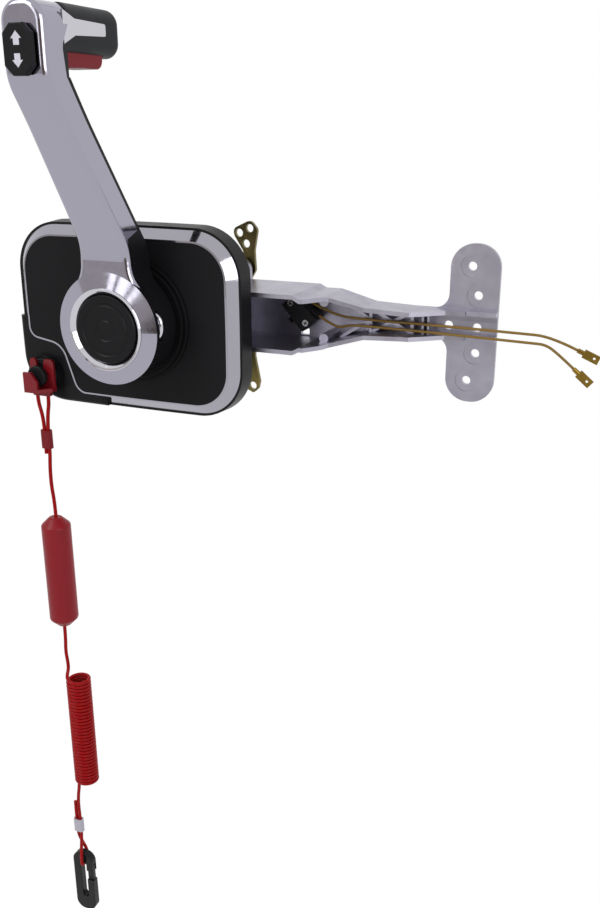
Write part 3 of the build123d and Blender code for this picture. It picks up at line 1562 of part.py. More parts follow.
with BuildPart() as back_cover_screws:
    for x, z in cover_screw_places:
        with BuildSketch(back_plane(x, z, arm_depth_y + back_cover_depth_y)):
            Circle(cover_screw_radius)
        extrude(amount=-9)
        with BuildSketch(back_plane(x, z, arm_depth_y + back_cover_depth_y)):
            Circle(cover_screw_head)
        extrude(amount=-2.0)
back_cover_screws.part.label = "back_cover_screws"
export_step(back_cover_screws.part, "parts/back_cover_screws.step")

with BuildPart() as hub_ring:
    with BuildSketch(Plane.XY):
        with BuildLine():
            Polyline(
                (24.9, hub_back_y),
                (24.9, -58.5),
                (27.6, -61.0),
                (28.9, -61.2),
                (29.5, -60.7),
                (29.5, hub_back_y),
                close=True,
            )
        make_face()
    revolve(axis=Axis.Y)
hub_ring.part.label = "hub_ring"
export_step(hub_ring.part, "parts/hub_ring.step")

bolt_head_front_y = -57.7
washer_front_y = -54.7
with BuildPart() as hub_cap:
    with BuildSketch(Plane.XY):
        with BuildLine():
            Polyline(
                (0, -58.2),
                (11, -58.2),
                (11, hub_back_y),
                (24.6, hub_back_y),
                (24.6, -59.4),
                (23.8, -60.2),
                (19.4, -60.2),
                (18.8, -59.7),
                (17.4, -59.7),
                (16.8, -60.2),
                (8.4, -60.2),
                (7.8, -59.8),
                (6.6, -59.8),
                (6.0, -60.2),
                (0, -60.2),
                close=True,
            )
        make_face()
    revolve(axis=Axis.Y)
hub_cap.part.label = "hub_cap"
export_step(hub_cap.part, "parts/hub_cap.step")

with BuildPart() as hub_bolt:
    with BuildSketch(front_plane(-38.0)):
        Circle(hub_bolt_radius)
    extrude(amount=-38.0 - washer_front_y)
    with BuildSketch(front_plane(hub_back_y)):
        Circle(8)
    extrude(amount=hub_back_y - washer_front_y)
    with BuildSketch(front_plane(washer_front_y)):
        RegularPolygon(5.7, 6)
    extrude(amount=washer_front_y - bolt_head_front_y)
hub_bolt.part.label = "hub_bolt"
export_step(hub_bolt.part, "parts/hub_bolt.step")

button_travel = 2.0
button_bore_depth = 5.0
button_middle_y = button_front_y + button_depth_y / 2
button_middle_z = (button_low_z + button_high_z) / 2
with BuildPart() as throttle_button:
    with BuildSketch(front_plane(button_front_y + button_depth_y)):
        with Locations(((button_inner_x + button_outer_x) / 2, button_middle_z)):
            Rectangle(button_outer_x - button_inner_x, button_high_z - button_low_z)
    extrude(amount=button_depth_y)
    outer_edges = throttle_button.faces().sort_by(Axis.X)[-1].edges()
    fillet(outer_edges, 1.6)
    with BuildSketch(Plane(origin=(button_inner_x, button_middle_y, button_middle_z), z_dir=(1, 0, 0))):
        Circle(2.2)
    extrude(amount=button_bore_depth, mode=Mode.SUBTRACT)
throttle_button.part.label = "throttle_button"
export_step(throttle_button.part, "parts/throttle_button.step")

with BuildPart() as button_spring:
    with BuildSketch(Plane(origin=(button_pocket_x, button_middle_y, button_middle_z), z_dir=(1, 0, 0))):
        Circle(1.9)
        Circle(1.1, mode=Mode.SUBTRACT)
    extrude(amount=button_inner_x + button_bore_depth - button_travel - 0.3 - button_pocket_x)
button_spring.part.label = "button_spring"
export_step(button_spring.part, "parts/button_spring.step")


# Emergency stop switch: body, nut, button and the fork of the lanyard

nut_front_y = -28.0
barrel_front_y = -27.5
barrel_back_y = -4.0
button_cap_depth = 3.5
stem_end_y = -12.0
stem_clearance = 0.1
with BuildPart() as stop_switch:
    with BuildSketch(front_plane(barrel_back_y)):
        with Locations((stop_x, stop_z)):
            Circle(stop_barrel_radius)
    extrude(amount=barrel_back_y - barrel_front_y)
    with BuildSketch(front_plane(stem_end_y + stop_button_travel + 0.8)):
        with Locations((stop_x, stop_z)):
            Circle(stop_stem_radius + stem_clearance)
    extrude(amount=30, mode=Mode.SUBTRACT)
stop_switch.part.label = "stop_switch"
export_step(stop_switch.part, "parts/stop_switch.step")

with BuildPart() as stop_switch_nut:
    with BuildSketch(front_plane(face_y)):
        with Locations((stop_x, stop_z)):
            Circle(stop_nut_radius + 1)
    extrude(amount=2)
    with BuildSketch(front_plane(face_y - 2)):
        with Locations((stop_x, stop_z)):
            Circle(stop_nut_radius)
    extrude(amount=2)
    with BuildSketch(front_plane(face_y - 4)):
        with Locations((stop_x, stop_z)):
            Circle(stop_nut_radius - 2)
    extrude(amount=face_y - 4 - nut_front_y)
    nut_edges = stop_switch_nut.faces().sort_by(Axis.Y)[0].edges()
    chamfer(nut_edges, 0.6)
    with BuildSketch(front_plane(face_y)):
        with Locations((stop_x, stop_z)):
            Circle(stop_barrel_radius)
    extrude(amount=10, mode=Mode.SUBTRACT)
stop_switch_nut.part.label = "stop_switch_nut"
export_step(stop_switch_nut.part, "parts/stop_switch_nut.step")

with BuildPart() as stop_button:
    with BuildSketch(front_plane(stop_button_front_y + button_cap_depth)):
        with Locations((stop_x, stop_z)):
            Circle(stop_button_radius)
    extrude(amount=button_cap_depth)
    button_edges = stop_button.faces().sort_by(Axis.Y)[0].edges()
    fillet(button_edges, 1.0)
    with BuildSketch(front_plane(stem_end_y)):
        with Locations((stop_x, stop_z)):
            Circle(stop_stem_radius)
    extrude(amount=stem_end_y - stop_button_front_y - button_cap_depth)
stop_button.part.label = "stop_button"
export_step(stop_button.part, "parts/stop_button.step")

prong_top_z = stop_z + 13.0
prong_left_x = stop_x - 9.5
prong_right_x = stop_x + 12.5
shelf_top_z = stop_z - 9.0
shelf_bottom_z = shelf_top_z - 3.0
tab_front_y = -42.0
tab_depth = 2.5
tab_top_z = stop_z + 4.0
neck_bottom_z = stop_z - 16.0
clip_slot = stop_stem_radius + 0.3
with BuildPart() as stop_clip:
    with BuildSketch(front_plane(clip_back_y)):
        with BuildLine():
            Polyline(
                (prong_left_x, prong_top_z - 2),
                (prong_left_x + 2, prong_top_z),
                (stop_x - clip_slot - 1.5, prong_top_z),
                (stop_x - clip_slot, prong_top_z - 3),
                (stop_x - clip_slot, stop_z),
                (stop_x + clip_slot, stop_z),
                (stop_x + clip_slot, prong_top_z - 3),
                (stop_x + clip_slot + 1.5, prong_top_z),
                (prong_right_x - 2, prong_top_z),
                (prong_right_x, prong_top_z - 2),
                (prong_right_x, shelf_bottom_z),
                (prong_left_x, shelf_bottom_z),
                close=True,
            )
        make_face()
        with Locations((stop_x, stop_z)):
            Circle(clip_slot, mode=Mode.SUBTRACT)
    extrude(amount=clip_thickness)
    with BuildSketch(Plane.XY.offset(shelf_bottom_z)):
        with BuildLine():
            Polyline(
                (prong_left_x, clip_back_y),
                (prong_left_x + 1.5, tab_front_y),
                (stop_x + 4.5, tab_front_y),
                (prong_right_x, tab_front_y + 8),
                (prong_right_x, clip_back_y),
                close=True,
            )
        make_face()
    extrude(amount=shelf_top_z - shelf_bottom_z)
    with BuildSketch(front_plane(tab_front_y + tab_depth)):
        with BuildLine():
            Polyline(
                (prong_left_x + 1.5, shelf_bottom_z),
                (prong_left_x + 1.5, tab_top_z),
                (stop_x - 1, tab_top_z),
                (stop_x + 4.5, tab_top_z - 7),
                (stop_x + 4.5, shelf_bottom_z),
                close=True,
            )
        make_face()
    extrude(amount=tab_depth)
    with BuildSketch(Plane.XY.offset(neck_bottom_z)):
        with Locations((stop_x + 0.9, cord_y)):
            RectangleRounded(16.0, 5.0, 1.5)
    extrude(amount=shelf_bottom_z - neck_bottom_z)
stop_clip.part.label = "stop_clip"
export_step(stop_clip.part, "parts/stop_clip.step")


# Lanyard: cords, sleeve, float, coil, ferrule and snap hook

def hanging(offsets, top_z):
    """A hanging cord's route, from offsets to the stop switch in X, the cords' plane in Y and top_z."""
    return [(stop_x + dx, cord_y + dy, top_z + dz) for dx, dy, dz in offsets]


upper_cord_route = hanging(
    [
        (5.8, 0.0, 0.0),
        (5.8, 0.0, -6.5),
        (3.8, 0.0, -15.5),
        (2.8, 0.0, -26.0),
        (2.6, 0.0, -38.0),
        (2.4, 0.0, -49.0),
        (1.1, 0.0, -62.0),
        (0.9, 0.0, -77.0),
        (2.5, 0.0, -91.0),
        (2.5, 0.0, -104.0),
    ],
    neck_bottom_z,
)
tail_route = hanging(
    [
        (-4.2, 0.0, 0.0),
        (-4.2, 0.0, -6.5),
        (-1.7, 0.0, -15.5),
        (-0.7, 0.0, -26.0),
        (-0.8, 0.0, -38.0),
        (-1.0, 0.0, -49.0),
    ],
    neck_bottom_z,
)
lower_cord_route = hanging(
    [
        (1.0, 0.0, 0.0),
        (1.0, 0.0, -13.0),
        (-0.3, 0.0, -27.0),
        (1.4, 0.0, -40.0),
        (1.4, 0.0, -51.0),
    ],
    float_bottom_z,
)
hook_cord_route = hanging(
    [
        (1.4, 0.0, 0.0),
        (1.4, 0.0, -6.5),
        (-1.5, 0.0, -16.0),
        (-1.9, 0.0, -28.0),
        (-1.6, 0.0, -40.0),
        (-1.5, 0.0, -53.0),
        (-1.2, -0.4, -64.0),
        (-0.2, -3.8, -75.0),
        (0.4, -6.0, -85.5),
        (0.4, -6.2, -95.6),
        (-1.0, 6.2, -95.6),
        (-1.6, 5.9, -85.5),
        (-4.0, 3.2, -75.0),
        (-5.2, 0.2, -64.0),
        (-5.1, 0.0, -52.0),
        (-5.3, 0.0, -39.0),
        (-5.1, 0.0, -27.0),
    ],
    coil_bottom_z,
)

upper_cord_radii = arc_radii(upper_cord_route)
upper_cord_tube, upper_cord_length = route_tube(upper_cord_route, cord_diameter, upper_cord_radii)
with BuildPart() as lanyard_cord_upper:
    add(upper_cord_tube)
lanyard_cord_upper.part.label = "lanyard_cord_upper"
export_step(lanyard_cord_upper.part, "parts/lanyard_cord_upper.step")

tail_radii = arc_radii(tail_route)
tail_tube, tail_length = route_tube(tail_route, cord_diameter, tail_radii)
with BuildPart() as lanyard_tail:
    add(tail_tube)
lanyard_tail.part.label = "lanyard_tail"
export_step(lanyard_tail.part, "parts/lanyard_tail.step")

lower_cord_radii = arc_radii(lower_cord_route)
lower_cord_tube, lower_cord_length = route_tube(lower_cord_route, cord_diameter, lower_cord_radii)
with BuildPart() as lanyard_cord_lower:
    add(lower_cord_tube)
lanyard_cord_lower.part.label = "lanyard_cord_lower"
export_step(lanyard_cord_lower.part, "parts/lanyard_cord_lower.step")

hook_cord_radii = arc_radii(hook_cord_route)
hook_cord_tube, hook_cord_length = route_tube(hook_cord_route, cord_diameter, hook_cord_radii)
with BuildPart() as hook_cord:
    add(hook_cord_tube)
hook_cord.part.label = "hook_cord"
export_step(hook_cord.part, "parts/hook_cord.step")

sleeve_x = stop_x + 0.9
sleeve_bottom_z = stop_z - 60.0
with BuildPart() as lanyard_sleeve:
    with BuildSketch(Plane.XY.offset(sleeve_bottom_z)):
        with Locations((sleeve_x, cord_y)):
            RectangleRounded(9.6, 6.0, 2.8)
            SlotOverall(7.6, 3.6, mode=Mode.SUBTRACT)
    extrude(amount=15.0)
lanyard_sleeve.part.label = "lanyard_sleeve"
export_step(lanyard_sleeve.part, "parts/lanyard_sleeve.step")

with BuildPart() as lanyard_float:
    with BuildSketch(Plane.XY.offset(float_bottom_z)):
        with Locations((stop_x + 1.75, cord_y)):
            Circle(float_diameter / 2)
    extrude(amount=float_top_z - float_bottom_z)
    rims = lanyard_float.edges().filter_by(GeomType.CIRCLE)
    chamfer(rims, 7.0)
    fillet(lanyard_float.edges().filter_by(GeomType.CIRCLE), 3.0)
lanyard_float.part.label = "lanyard_float"
export_step(lanyard_float.part, "parts/lanyard_float.step")

coil_x = stop_x + 10.5
with BuildPart() as lanyard_coil:
    with BuildSketch(Plane.XY.offset(coil_bottom_z)):
        with Locations((coil_x, cord_y)):
            Circle(coil_diameter / 2)
    extrude(amount=coil_top_z - coil_bottom_z)
lanyard_coil.part.label = "lanyard_coil"
export_step(lanyard_coil.part, "parts/lanyard_coil.step")

with BuildPart() as lanyard_ferrule:
    with BuildSketch(Plane.XY.offset(ferrule_bottom_z)):
        with Locations((stop_x - 3.3, cord_y)):
            RectangleRounded(9.6, 5.8, 2.7)
            SlotOverall(7.4, 3.6, mode=Mode.SUBTRACT)
    extrude(amount=ferrule_top_z - ferrule_bottom_z)
lanyard_ferrule.part.label = "lanyard_ferrule"
export_step(lanyard_ferrule.part, "parts/lanyard_ferrule.step")

opening_left_x = hook_center_x - 2.6
opening_right_x = hook_center_x + 3.6
opening_top_z = hook_top_z - 10.0
opening_bottom_z = hook_top_z - 51.0
gate_x = hook_center_x + 7.0
gate_hinge_z = hook_top_z - 14.5
gate_tip_z = hook_top_z - 30.0
gate_thickness = 3.4
gate_half_width = 3.0
gate_pin_radius = 1.2
with BuildPart() as snap_hook:
    with BuildSketch(front_plane(cord_y + hook_thickness / 2)):
        with Locations((hook_center_x, (hook_top_z + hook_bottom_z) / 2)):
            RectangleRounded(hook_width, hook_top_z - hook_bottom_z, 9.0)
        with Locations(
            ((opening_left_x + opening_right_x) / 2, (opening_top_z + opening_bottom_z) / 2)
        ):
            RectangleRounded(
                opening_right_x - opening_left_x, opening_top_z - opening_bottom_z, 3.0, mode=Mode.SUBTRACT
            )
        # The mouth that the gate closes
        with Locations((gate_x, (gate_hinge_z - 5 + gate_tip_z) / 2)):
            Rectangle(10.0, gate_hinge_z - 5 - gate_tip_z, mode=Mode.SUBTRACT)
    extrude(amount=hook_thickness)
    outer_rims = snap_hook.faces().filter_by(Axis.Y)
    for rim in outer_rims:
        chamfer(rim.outer_wire().edges(), 0.5)
    with BuildSketch(front_plane(cord_y + gate_thickness / 2 + 0.3)):
        with Locations((gate_x, gate_hinge_z - 1)):
            Rectangle(9.0, 8.6)
    extrude(amount=gate_thickness + 0.6, mode=Mode.SUBTRACT)
    with BuildSketch(front_plane(cord_y + hook_thickness / 2)):
        with Locations((gate_x, gate_hinge_z)):
            Circle(gate_pin_radius + running_clearance)
    extrude(amount=hook_thickness, mode=Mode.SUBTRACT)
snap_hook.part.label = "snap_hook"
export_step(snap_hook.part, "parts/snap_hook.step")

with BuildPart() as snap_gate:
    with BuildSketch(front_plane(cord_y + gate_thickness / 2)):
        with Locations((gate_x, gate_hinge_z)):
            Circle(gate_half_width)
        with Locations((gate_x, (gate_hinge_z + gate_tip_z + 0.3) / 2)):
            Rectangle(2 * gate_half_width, gate_hinge_z - gate_tip_z - 0.3)
    extrude(amount=gate_thickness)
    with BuildSketch(front_plane(cord_y + hook_thickness / 2)):
        with Locations((gate_x, gate_hinge_z)):
            Circle(gate_pin_radius)
    extrude(amount=hook_thickness)
snap_gate.part.label = "snap_gate"
export_step(snap_gate.part, "parts/snap_gate.step")


report_route("switch_lead_upper", upper_lead_route, upper_radii, switch_lead_upper.part)
report_route("switch_lead_lower", lower_lead_route, lower_radii, switch_lead_lower.part)
report_route("lanyard_cord_upper", upper_cord_route, upper_cord_radii, lanyard_cord_upper.part)
report_route("lanyard_tail", tail_route, tail_radii, lanyard_tail.part)
report_route("lanyard_cord_lower", lower_cord_route, lower_cord_radii, lanyard_cord_lower.part)
report_route("hook_cord", hook_cord_route, hook_cord_radii, hook_cord.part)
for name, length, diameter in (
    ("switch_lead_upper", upper_length, lead_diameter),
    ("switch_lead_lower", lower_length, lead_diameter),
    ("lanyard_cord_upper", upper_cord_length, cord_diameter),
    ("lanyard_tail", tail_length, cord_diameter),
    ("lanyard_cord_lower", lower_cord_length, cord_diameter),
    ("hook_cord", hook_cord_length, cord_diameter),
):
    print(name, "length", round(length, 1), "section times length", round(pi * diameter**2 / 4 * length, 1))
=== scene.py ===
# %% [markdown]
# # A boat engine control, dressed in Blender
# The object is a side mount engine control: a chrome lever on a black panel, the gear case and
# cable arm behind it, and the emergency stop switch with its coiled lanyard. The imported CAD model
# gives every rigid piece its exact shape and place. This script adds what CAD leaves out: the
# finishes, the cords as real curves, the studio and the camera. All lengths are in metres.

# %% Load the CAD frame
import math
import bpy
import bmesh
from mathutils import Matrix, Vector


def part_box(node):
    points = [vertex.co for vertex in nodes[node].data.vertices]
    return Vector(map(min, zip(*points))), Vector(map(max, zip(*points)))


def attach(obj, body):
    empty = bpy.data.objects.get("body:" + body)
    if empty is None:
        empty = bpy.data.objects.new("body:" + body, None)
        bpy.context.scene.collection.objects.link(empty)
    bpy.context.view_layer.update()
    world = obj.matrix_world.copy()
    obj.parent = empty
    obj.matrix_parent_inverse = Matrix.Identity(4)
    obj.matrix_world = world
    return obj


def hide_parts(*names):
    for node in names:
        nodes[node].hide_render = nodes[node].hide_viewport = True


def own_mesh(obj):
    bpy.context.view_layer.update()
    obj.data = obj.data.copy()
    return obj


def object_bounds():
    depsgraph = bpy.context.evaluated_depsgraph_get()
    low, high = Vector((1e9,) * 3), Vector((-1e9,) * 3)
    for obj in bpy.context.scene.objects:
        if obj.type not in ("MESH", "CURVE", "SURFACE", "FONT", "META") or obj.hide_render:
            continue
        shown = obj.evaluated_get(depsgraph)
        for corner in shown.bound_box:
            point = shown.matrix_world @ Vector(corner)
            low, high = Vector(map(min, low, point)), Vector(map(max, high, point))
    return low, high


MM = 0.001
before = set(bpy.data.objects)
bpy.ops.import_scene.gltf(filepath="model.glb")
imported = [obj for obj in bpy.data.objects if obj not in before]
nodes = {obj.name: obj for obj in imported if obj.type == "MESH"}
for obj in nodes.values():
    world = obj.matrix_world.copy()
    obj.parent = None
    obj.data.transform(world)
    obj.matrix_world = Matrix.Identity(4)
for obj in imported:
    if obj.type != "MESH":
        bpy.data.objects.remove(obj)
cad_low, cad_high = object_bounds()
print("CAD box", [round(v, 4) for v in cad_low], [round(v, 4) for v in cad_high])

# %% [markdown]
# ## The camera
# The camera was fitted to the panel, the lever and the cable arm, so that the CAD model lands on
# the picture of the object. A camera is a position and a turn: here the turn comes from an
# azimuth and an elevation, whose three axes are written as the columns of a matrix. A mesh, a
# curve, a lamp and a camera all show only once an object holds them, so one helper does that.

# %% Place the camera
def show(name, data):
    """Puts a new object that holds that mesh, curve, lamp or camera in the scene."""
    thing = bpy.data.objects.new(name, data)
    bpy.context.collection.objects.link(thing)
    return thing


azimuth = math.radians(22.54)
elevation = math.radians(19.3)
camera_place = (0.3819, -0.6203, 0.1395)
towards_camera = Vector((
    math.sin(azimuth) * math.cos(elevation),
    -math.cos(azimuth) * math.cos(elevation),
    math.sin(elevation),
))
to_the_right = Vector((math.cos(azimuth), math.sin(azimuth), 0.0))
upwards = towards_camera.cross(to_the_right)
camera_turn = Matrix((to_the_right, upwards, towards_camera)).transposed()
camera_data = bpy.data.cameras.new("camera")
camera_data.sensor_width = 36.0
camera_data.lens = 37.64
camera = show("camera", camera_data)
camera.matrix_world = Matrix.Translation(camera_place) @ camera_turn.to_4x4()
bpy.context.scene.camera = camera
print("camera looks along", [round(-v, 3) for v in towards_camera])

# %% [markdown]
# ## Small helpers for materials
# A shader works in linear light, and colours are easier to read as sRGB hex, so one function turns
# one into the other. A second one adds a node with its settings and links. Each finish below is
# then a few lines that say what the surface is. A noise pattern is sized by the grain that it
# draws, in millimetres, and most of its values lie near the middle of its range from 0 to 1.

# %% Colour and node helpers
def linear(hex_text):
    """An sRGB colour written as hex, as the linear numbers that a shader takes."""
    values = [int(hex_text[place:place + 2], 16) / 255 for place in (1, 3, 5)]
    parts = [v / 12.92 if v <= 0.04045 else ((v + 0.055) / 1.055) ** 2.4 for v in values]
    return (*parts, 1.0)


def add_node(tree, kind, values=None, links=None, **settings):
    """Adds one node, with its settings, its sockets' values and the links into it."""
    node = tree.nodes.new(kind)
    for name, value in settings.items():
        setattr(node, name, value)
    for socket, value in (values or {}).items():
        node.inputs[socket].default_value = value
    for socket, source in (links or {}).items():
        tree.links.new(source, node.inputs[socket])
    return node


def start_material(name):
    """A new material with an empty tree."""
    material = bpy.data.materials.new(name)
    material.use_nodes = True
    material.node_tree.nodes.clear()
    return material, material.node_tree


def start_finish(name):
    """A new material, its empty tree, and the Object coordinates that its patterns follow."""
    material, tree = start_material(name)
    place = add_node(tree, "ShaderNodeTexCoord").outputs["Object"]
    return material, tree, place


def end_finish(tree, values, links):
    """The surface shader, which takes fixed values and the patterns' links, and the output."""
    surface = add_node(tree, "ShaderNodeBsdfPrincipled", values=values, links=links)
    add_node(tree, "ShaderNodeOutputMaterial", links={"Surface": surface.outputs["BSDF"]})


def grain_of(size_mm, detail):
    """The settings of a noise pattern whose grains are that large."""
    return {"Scale": 1 / (size_mm * MM), "Detail": detail}


middle_of_noise = {"From Min": 0.35, "From Max": 0.65}
most_of_noise = {"From Min": 0.3, "From Max": 0.7}
print("black is", linear("#141416")[:3])

# %% [markdown]
# ## Chrome
# The lever is a zinc die casting, polished, nickel plated and chromed. Plating is smooth but not
# flat: it keeps the slow waves of the polished casting, some 25 mm long, and fine wiping marks
# that blur the reflection unevenly. A metal's colour is its reflection's colour, so the lavender
# grey of the lever is the base colour. The ring on the hub and the inlays of the grip are brighter.

# %% Chrome finishes
wiping_mark_mm = 4


def chrome(name, colour, roughness, wave_mm, wave_height_mm):
    """Plated metal, whose roughness follows the wiping marks and whose surface has slow waves."""
    material, tree, place = start_finish(name)
    waves = add_node(tree, "ShaderNodeTexNoise", grain_of(wave_mm, 2.0), {"Vector": place})
    marks = add_node(tree, "ShaderNodeTexNoise", grain_of(wiping_mark_mm, 5.0), {"Vector": place})
    rough = add_node(
        tree, "ShaderNodeMapRange",
        {**middle_of_noise, "To Min": roughness * 0.75, "To Max": roughness * 1.3},
        {"Value": marks.outputs["Fac"]},
    )
    bump = add_node(
        tree, "ShaderNodeBump",
        {"Strength": 0.5, "Distance": wave_height_mm * MM}, {"Height": waves.outputs["Fac"]},
    )
    end_finish(
        tree,
        {"Base Color": linear(colour), "Metallic": 1.0},
        {"Roughness": rough.outputs["Result"], "Normal": bump.outputs["Normal"]},
    )
    return material


lever_chrome = chrome("polished_lever_chrome", "#a09eab", 0.10, 25, 0.06)
bezel_chrome = chrome("plated_abs_bezel", "#a19fa8", 0.09, 18, 0.05)
bright_chrome = chrome("bright_trim_chrome", "#c4c3ca", 0.06, 18, 0.03)
print("chrome finishes:", lever_chrome.name, bezel_chrome.name, bright_chrome.name)

# %% [markdown]
# ## Moulded plastics and rubber
# The panel, its housing and the covers are moulded in a spark-eroded tool, which leaves a fine
# grain about 0.3 mm across. At this distance it shows only as a soft, slightly uneven sheen, so the
# grain is drawn at 0.6 mm. The grip is a soft rubber over a hard core, with a coarser grain. A
# grained surface scatters part of its reflection, so the specular level is well below that of a
# polished plastic, and black stays black in a white studio. The colour and the roughness drift a
# little over some 30 mm, as the melt's flow leaves them.

# %% Plastic and rubber finishes
flow_cloud_mm = 30
roughness_drift = 0.06


def moulded(name, colour, lighter, roughness, grain_mm, grain_height_mm, specular=0.12):
    """A moulded plastic, rubber or foam with a fine grain and a slow drift of colour."""
    least_rough, most_rough = roughness - roughness_drift, roughness + roughness_drift
    material, tree, place = start_finish(name)
    grain = add_node(tree, "ShaderNodeTexNoise", grain_of(grain_mm, 3.0), {"Vector": place})
    cloud = add_node(tree, "ShaderNodeTexNoise", grain_of(flow_cloud_mm, 2.0), {"Vector": place})
    shade = add_node(
        tree, "ShaderNodeMix",
        {6: linear(colour), 7: linear(lighter)}, {0: cloud.outputs["Fac"]}, data_type="RGBA",
    )
    rough = add_node(
        tree, "ShaderNodeMapRange",
        {**most_of_noise, "To Min": least_rough, "To Max": most_rough},
        {"Value": cloud.outputs["Fac"]},
    )
    bump = add_node(
        tree, "ShaderNodeBump",
        {"Strength": 0.6, "Distance": grain_height_mm * MM}, {"Height": grain.outputs["Fac"]},
    )
    end_finish(
        tree,
        {"IOR": 1.5, "Specular IOR Level": specular},
        {"Base Color": shade.outputs[2], "Roughness": rough.outputs["Result"],
         "Normal": bump.outputs["Normal"]},
    )
    return material


housing_black = moulded("satin_moulded_abs", "#131315", "#18181a", 0.36, 0.6, 0.012)
ring_black = moulded("black_turned_ring_abs", "#0a0a0c", "#101012", 0.45, 0.6, 0.012, specular=0.06)
panel_black = moulded("grained_panel_abs", "#141416", "#18181a", 0.5, 0.6, 0.02, specular=0.1)
grip_rubber = moulded("soft_grip_rubber", "#1e1f21", "#242528", 0.42, 0.8, 0.03)
switch_nylon = moulded("glass_filled_nylon", "#141416", "#1c1c1e", 0.4, 1.2, 0.03)
gasket_foam = moulded("closed_cell_foam", "#0f0f10", "#19191a", 0.85, 1.0, 0.12, specular=0.05)
hook_acetal = moulded("moulded_acetal", "#141415", "#1c1c1e", 0.3, 2.0, 0.02, specular=0.15)
# The dark finish of the screw recesses is painted shade: it stands for the shade inside a recess.
recess_painted_shade = moulded("shadowed_recess", "#1a1a1b", "#242425", 0.6, 1.0, 0.01)
trigger_red = moulded("red_moulded_abs", "#761f25", "#80262c", 0.38, 0.8, 0.015)
clip_red = moulded("glossy_red_abs", "#6e0c15", "#7b111b", 0.28, 1.5, 0.01, specular=0.3)
ferrule_white = moulded("white_moulded_nylon", "#aaa7b2", "#b7b4be", 0.35, 1.5, 0.02, specular=0.3)
arrow_grey = moulded("pad_printed_grey", "#c4c2cc", "#cecdd4", 0.45, 0.8, 0.004)
print("moulded finishes from", housing_black.name, "to", arrow_grey.name)

# %% [markdown]
# ## Foam float and red cords
# The float is closed-cell foam with a dipped skin: soft sheen, faint dimples 2 mm across. The
# lanyard is a twisted core in a glossy polyurethane sheath, coiled for a part of its length. The
# core shows through as slanting ridges a little over a millimetre apart.

# %% Foam and cord finishes
float_foam = moulded("dipped_foam_skin", "#7f151d", "#8a1a23", 0.4, 2.0, 0.05, specular=0.2)
ridge_height_mm = 0.12


def red_sheath(name, colour, deeper, roughness, twist_mm):
    """A sheathed cord whose twisted core shows through as slanting ridges."""
    material, tree, place = start_finish(name)
    # A diagonal band pattern of scale 1 turns by 10 radians for each metre along an axis, so this
    # scale puts two twists between ridges along an axis, and 1.15 twists square to the ridges.
    ridge_scale = 2 * math.pi / (20 * twist_mm * MM)
    twist = add_node(
        tree, "ShaderNodeTexWave",
        {"Scale": ridge_scale, "Distortion": 0.6, "Detail": 1.0, "Detail Scale": 2.0},
        {"Vector": place}, wave_type="BANDS", bands_direction="DIAGONAL",
    )
    shade = add_node(
        tree, "ShaderNodeMix",
        {6: linear(deeper), 7: linear(colour)}, {0: twist.outputs["Fac"]}, data_type="RGBA",
    )
    bump = add_node(
        tree, "ShaderNodeBump",
        {"Strength": 0.4, "Distance": ridge_height_mm * MM}, {"Height": twist.outputs["Fac"]},
    )
    end_finish(
        tree,
        {"Roughness": roughness, "IOR": 1.5, "Specular IOR Level": 0.1},
        {"Base Color": shade.outputs[2], "Normal": bump.outputs["Normal"]},
    )
    return material


lanyard_red = red_sheath("sheathed_red_cord", "#a30a0d", "#850609", 0.3, 1.2)
sleeve_red = moulded("shrink_sleeve_red", "#6c1b20", "#7a2429", 0.5, 1.0, 0.03)
wire_gold = moulded("wire_insulation_ochre", "#745a24", "#86692e", 0.38, 3.0, 0.02, specular=0.25)
print("cord finishes:", lanyard_red.name, wire_gold.name)

# %% [markdown]
# ## Castings and plated steel
# The cable arm and the gear case are pressure die castings, left as they come: a light grey metal
# with a fine sandy skin of about 0.8 mm and cloudy flow marks some 15 mm long. Steel pieces are
# zinc plated, and the two cable levers have the yellow passivation that drifts from straw to green.

# %% Casting and plating finishes
def plated(name, colour, drift, roughness, grain_mm, grain_height_mm, cloud_mm):
    """Bare or plated metal with a sandy grain, whose colour drifts in clouds of that size."""
    material, tree, place = start_finish(name)
    grain = add_node(tree, "ShaderNodeTexNoise", grain_of(grain_mm, 4.0), {"Vector": place})
    cloud = add_node(tree, "ShaderNodeTexNoise", grain_of(cloud_mm, 3.0), {"Vector": place})
    strength = add_node(tree, "ShaderNodeMapRange", middle_of_noise, {"Value": cloud.outputs["Fac"]})
    shade = add_node(
        tree, "ShaderNodeMix",
        {6: linear(colour), 7: linear(drift)}, {0: strength.outputs["Result"]}, data_type="RGBA",
    )
    rough = add_node(
        tree, "ShaderNodeMapRange",
        {**most_of_noise, "To Min": roughness * 0.8, "To Max": roughness * 1.2},
        {"Value": grain.outputs["Fac"]},
    )
    bump = add_node(
        tree, "ShaderNodeBump",
        {"Strength": 0.6, "Distance": grain_height_mm * MM}, {"Height": grain.outputs["Fac"]},
    )
    end_finish(
        tree,
        {"Metallic": 1.0},
        {"Base Color": shade.outputs[2], "Roughness": rough.outputs["Result"],
         "Normal": bump.outputs["Normal"]},
    )
    return material


die_cast = plated("die_cast_aluminium", "#aba9b5", "#9e9ca9", 0.36, 0.8, 0.03, 15)
zinc_steel = plated("bright_zinc_steel", "#b3b2b4", "#9fa1a6", 0.28, 1.5, 0.01, 6)
gold_zinc = plated("yellow_zinc_steel", "#7b6c3f", "#66613d", 0.32, 1.5, 0.012, 7)
terminal_brass = plated("drawn_brass", "#8f7432", "#80672c", 0.26, 1.0, 0.01, 5)
sintered_bronze = plated("sintered_bronze", "#8f6b43", "#7c5b39", 0.5, 0.6, 0.02, 5)
print("metal finishes:", die_cast.name, zinc_steel.name, gold_zinc.name)

